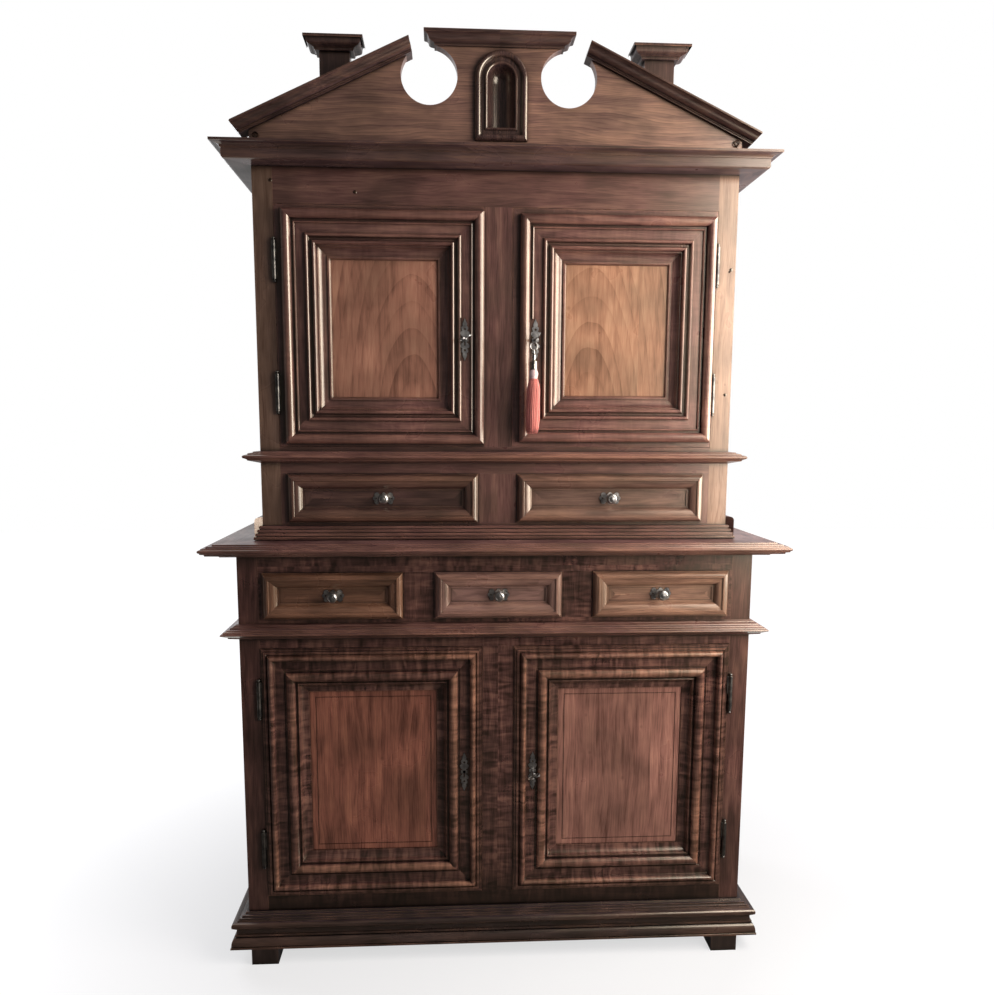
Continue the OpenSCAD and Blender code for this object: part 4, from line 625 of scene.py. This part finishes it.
def skirt_strand(x, y, z, length, angle, share, sway):
    """Points and faces of one strand, which swells out, hangs and draws in at its foot."""
    path, radii = [], []
    for i in range(STRAND_STEPS + 1):
        f = i / STRAND_STEPS
        swell = SKIRT_R + SWELL * min(1.0, f * 5) ** 0.6 + SPREAD * f
        if f > DRAWN_FROM:
            swell -= DRAWN_IN * (f - DRAWN_FROM)
        r = swell * share
        path.append(Vector((x - LEAN * f + r * math.cos(angle) + sway * math.sin(7 * f),
                            y + r * math.sin(angle) + sway * math.cos(5 * f),
                            z - length * f)))
        radii.append(STRAND_R if i < STRAND_STEPS else STRAND_END_R)
    return swept(path, radii, STRAND_SIDES)


def silk_skirt(x, y, z, length):
    """Points and faces of the skirt: layers of strands that end ragged."""
    random.seed(7)
    all_verts, all_faces = [], []
    for layer, (count, share) in enumerate(LAYERS):
        for k in range(count):
            angle = 2 * math.pi * (k + 0.5 * layer) / count + random.uniform(-TURNED_BY, TURNED_BY)
            end = length * random.uniform(SHORTEST, LONGEST)
            sway = random.uniform(-STRAY, STRAY)
            verts, faces = skirt_strand(x, y, z, end, angle, share, sway)
            base = len(all_verts)
            all_verts += verts
            all_faces += [tuple(v + base for v in f) for f in faces]
    return all_verts, all_faces


def hang_tassel():
    """Hang the tassel from the key."""
    silk = spun_silk("salmon silk floss", "#5a2630", "#c8665c", "#ec9484")
    ring_metal = forged_iron("polished steel of the rings", "#b4b2ae", "#f2f0ec", 0.3)
    pale_silk = spun_silk("pale silk cord", "#6a3c42", "#d8a8a4", "#f6e6e0")
    tinned = forged_iron("tinned ferrule", "#5e625a", "#d8d4c4", 0.32)
    lo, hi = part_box("key_tassel")
    x, y = (lo.x + hi.x) / 2, (lo.y + hi.y) / 2
    ring_z = hi.z - RING_DROP
    stem_z = ring_z - RING_R - STEM_LENGTH
    skirt_z = stem_z - SKIRT_DROP
    loop = piece("tassel_loop", *wire_ring(x, y, ring_z, RING_R, RING_WIRE, RING_POINTS),
                 ring_metal, "key_tassel")
    knot = piece("tassel_knot", *turned(STEM, STEM_SIDES, (x, y, stem_z)), ring_metal,
                 "key_tassel")
    ferrule = piece("tassel_ferrule", *turned(FERRULE, FERRULE_SIDES, (x, y, stem_z)), tinned,
                    "key_tassel")
    head = piece("tassel_head", *wound_head(x, y, stem_z), pale_silk, "key_tassel")
    skirt = piece("tassel_skirt", *silk_skirt(x, y, skirt_z, skirt_z - lo.z), silk,
                  "key_tassel")
    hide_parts("key_tassel")


hang_tassel()

# The peg heads and the nail of the upper front, and the screw eyes over its cornice.
old_nail = forged_iron("rusty iron of the nails and screw eyes", "#2a1c16", "#4c3a30", 0.5)
peg_wood = walnut("end grain of the pegs", ("#120a08", "#2a1a14", "#44301f"), "y", wear=0.0)
PEG_R, NAIL_R, HEAD_OUT, HEAD_SUNK, PEG_SIDES = 0.0042, 0.0028, 0.0012, 0.0015, 20
EYE_R, EYE_WIRE, EYE_POINTS, SHANK_R, SHANK_SUNK = 0.0062, 0.0016, 32, 0.0018, 0.002
# Where they stand: (x, z) on the upper front, and (x, y, z) of each screw eye's middle.
PEGS = ((-0.3523, 1.9675), (-0.5565, 1.9916), (0.5893, 1.7959), (0.5866, 1.4839))
NAIL = (0.5857, 1.791)
EYES = ((0.5895, -0.188, 2.0987), (-0.5879, -0.188, 2.0928))


def round_head(name, x, z, radius, material):
    """A low round head that stands proud of the upper front, facing the room."""
    profile = [(0.0, HEAD_OUT), (radius * 0.55, HEAD_OUT * 0.9), (radius * 0.9, HEAD_OUT * 0.5),
               (radius, 0.0), (radius, -HEAD_SUNK)]
    verts, faces = turned(profile, PEG_SIDES)
    verts = [(x + a, UPPER_FACE - c, z + b) for a, b, c in verts]
    return piece(name, verts, faces, material, "carcass")


for i, (x, z) in enumerate(PEGS):
    peg = round_head("peg_%d" % i, x, z, PEG_R, peg_wood)
nail = round_head("nail_right_post", *NAIL, NAIL_R, old_nail)
cornice_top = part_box("cornice")[1].z
for i, (x, y, z) in enumerate(EYES):
    verts, faces = wire_ring(x, y, z, EYE_R, EYE_WIRE, EYE_POINTS)
    eye = piece("screw_eye_%d" % i, verts, faces, old_nail, "carcass")
    shank = [Vector((x, y, z - EYE_R)), Vector((x, y, cornice_top - SHANK_SUNK))]
    verts, faces = swept(shank, [SHANK_R] * 2, WIRE_SIDES)
    stem = piece("screw_eye_stem_%d" % i, verts, faces, old_nail, "carcass")


def lay_floor():
    """A pale floor that keeps the object's shadow. To the eye it glows more with distance, so
    that it meets the white background without a line; the polish sees that glow only behind
    the object, and a darker floor in front of it."""
    mat, t = blank("pale matt floor")
    path = add(t, "ShaderNodeLightPath")
    place = add(t, "ShaderNodeTexCoord")["Object"]
    back = add(t, "ShaderNodeMapRange", {0: add(t, "ShaderNodeSeparateXYZ", {0: place})["Y"],
                                         1: -0.3, 2: 0.5, 3: 0.0, 4: 1.0})[0]
    mirrored = add(t, "ShaderNodeMath", {0: path["Is Glossy Ray"], 1: back},
                   operation="MULTIPLY")[0]
    seen = add(t, "ShaderNodeMath", {0: mirrored, 1: path["Is Transmission Ray"]},
               operation="MAXIMUM")[0]
    seen = add(t, "ShaderNodeMath", {0: path["Is Camera Ray"], 1: seen}, operation="MAXIMUM")[0]
    far = add(t, "ShaderNodeVectorMath", {0: place}, operation="LENGTH")[1]
    glow = add(t, "ShaderNodeMapRange", {0: far, 1: 0.7, 2: 1.7, 3: 0.66, 4: 1.0})[0]
    glow = add(t, "ShaderNodeMath", {0: glow, 1: seen}, operation="MULTIPLY")[0]
    colour = add(t, "ShaderNodeMix", {0: path["Is Glossy Ray"], 6: linear("#8c8c8c"),
                                      7: linear("#484440")}, data_type="RGBA")[2]
    shader = add(t, "ShaderNodeBsdfPrincipled", {
        "Base Color": colour, "Roughness": 0.9, "Specular IOR Level": 0.1,
        "Emission Color": linear("#ffffff"), "Emission Strength": glow})[0]
    add(t, "ShaderNodeOutputMaterial", {"Surface": shader})
    mesh = bpy.data.meshes.new("floor")
    mesh.from_pydata([(-9, -7, 0), (9, -7, 0), (9, 9, 0), (-9, 9, 0)], [], [(0, 1, 2, 3)])
    floor = bpy.data.objects.new("floor", mesh)
    floor.data.materials.append(mat)
    bpy.context.scene.collection.objects.link(floor)


def light_world():
    """White to the eye. The light that it gives is dim, and what shines in the polish is white
    behind the object and a dim room in front of it."""
    world = bpy.data.worlds.new("pale room")
    world.use_nodes = True
    bpy.context.scene.world = world
    t = world.node_tree
    t.nodes.clear()
    path = add(t, "ShaderNodeLightPath")
    seen = add(t, "ShaderNodeMath", {0: path["Is Camera Ray"], 1: path["Is Transmission Ray"]},
               operation="MAXIMUM")[0]
    way = add(t, "ShaderNodeSeparateXYZ", {0: add(t, "ShaderNodeTexCoord")["Generated"]})
    behind = add(t, "ShaderNodeMapRange", {0: way["Y"], 1: -0.1, 2: 0.35, 3: 0.05, 4: 1.0})[0]
    dim = add(t, "ShaderNodeBackground", {"Color": linear("#ece6ff"), "Strength": 0.2})[0]
    glossy = add(t, "ShaderNodeBackground", {"Color": linear("#ffffff"), "Strength": behind})[0]
    white = add(t, "ShaderNodeBackground", {"Color": linear("#ffffff"), "Strength": 1.0})[0]
    mixed = add(t, "ShaderNodeMixShader", {0: path["Is Glossy Ray"], 1: dim, 2: glossy})[0]
    mixed = add(t, "ShaderNodeMixShader", {0: seen, 1: mixed, 2: white})[0]
    add(t, "ShaderNodeOutputWorld", {"Surface": mixed})


def lamp(name, place, aim, size, power, colour):
    """A soft rectangular lamp."""
    data = bpy.data.lights.new(name, "AREA")
    data.shape = "RECTANGLE"
    data.size, data.size_y = size
    data.energy = power
    data.color = linear(colour)[:3]
    obj = bpy.data.objects.new(name, data)
    obj.location = place
    obj.rotation_euler = (Vector(aim) - Vector(place)).to_track_quat("-Z", "Y").to_euler()
    bpy.context.scene.collection.objects.link(obj)


def stand_camera():
    """The photograph's own view: from a little left of the middle, at 1.4 m, looking down."""
    camera = bpy.data.cameras.new("camera")
    camera.lens = 30.26
    camera.sensor_width = 36.0
    camera.shift_x = 0.005
    camera.shift_y = 0.0427
    view = bpy.data.objects.new("camera", camera)
    view.location = (-0.1328, -2.3354, 1.3949)
    view.rotation_euler = Euler([math.radians(a) for a in (82.4369, -0.2045, -3.1298)])
    bpy.context.scene.collection.objects.link(view)
    bpy.context.scene.camera = view


lay_floor()
light_world()
lamp("window on the right", (1.3, -0.6, 1.8), (0.0, -0.6, 1.7), (1.1, 1.9), 52, "#fff8f0")
lamp("curtain beside the window", (1.6, -1.7, 1.8), (0.4, -0.2, 1.5), (1.0, 1.8), 34, "#fff8f4")
lamp("soft light from behind", (-2.6, 2.4, 2.4), (0.0, 0.1, 1.1), (1.6, 1.6), 60, "#f4f6ff")
stand_camera()
bpy.context.scene.view_settings.view_transform = "Standard"
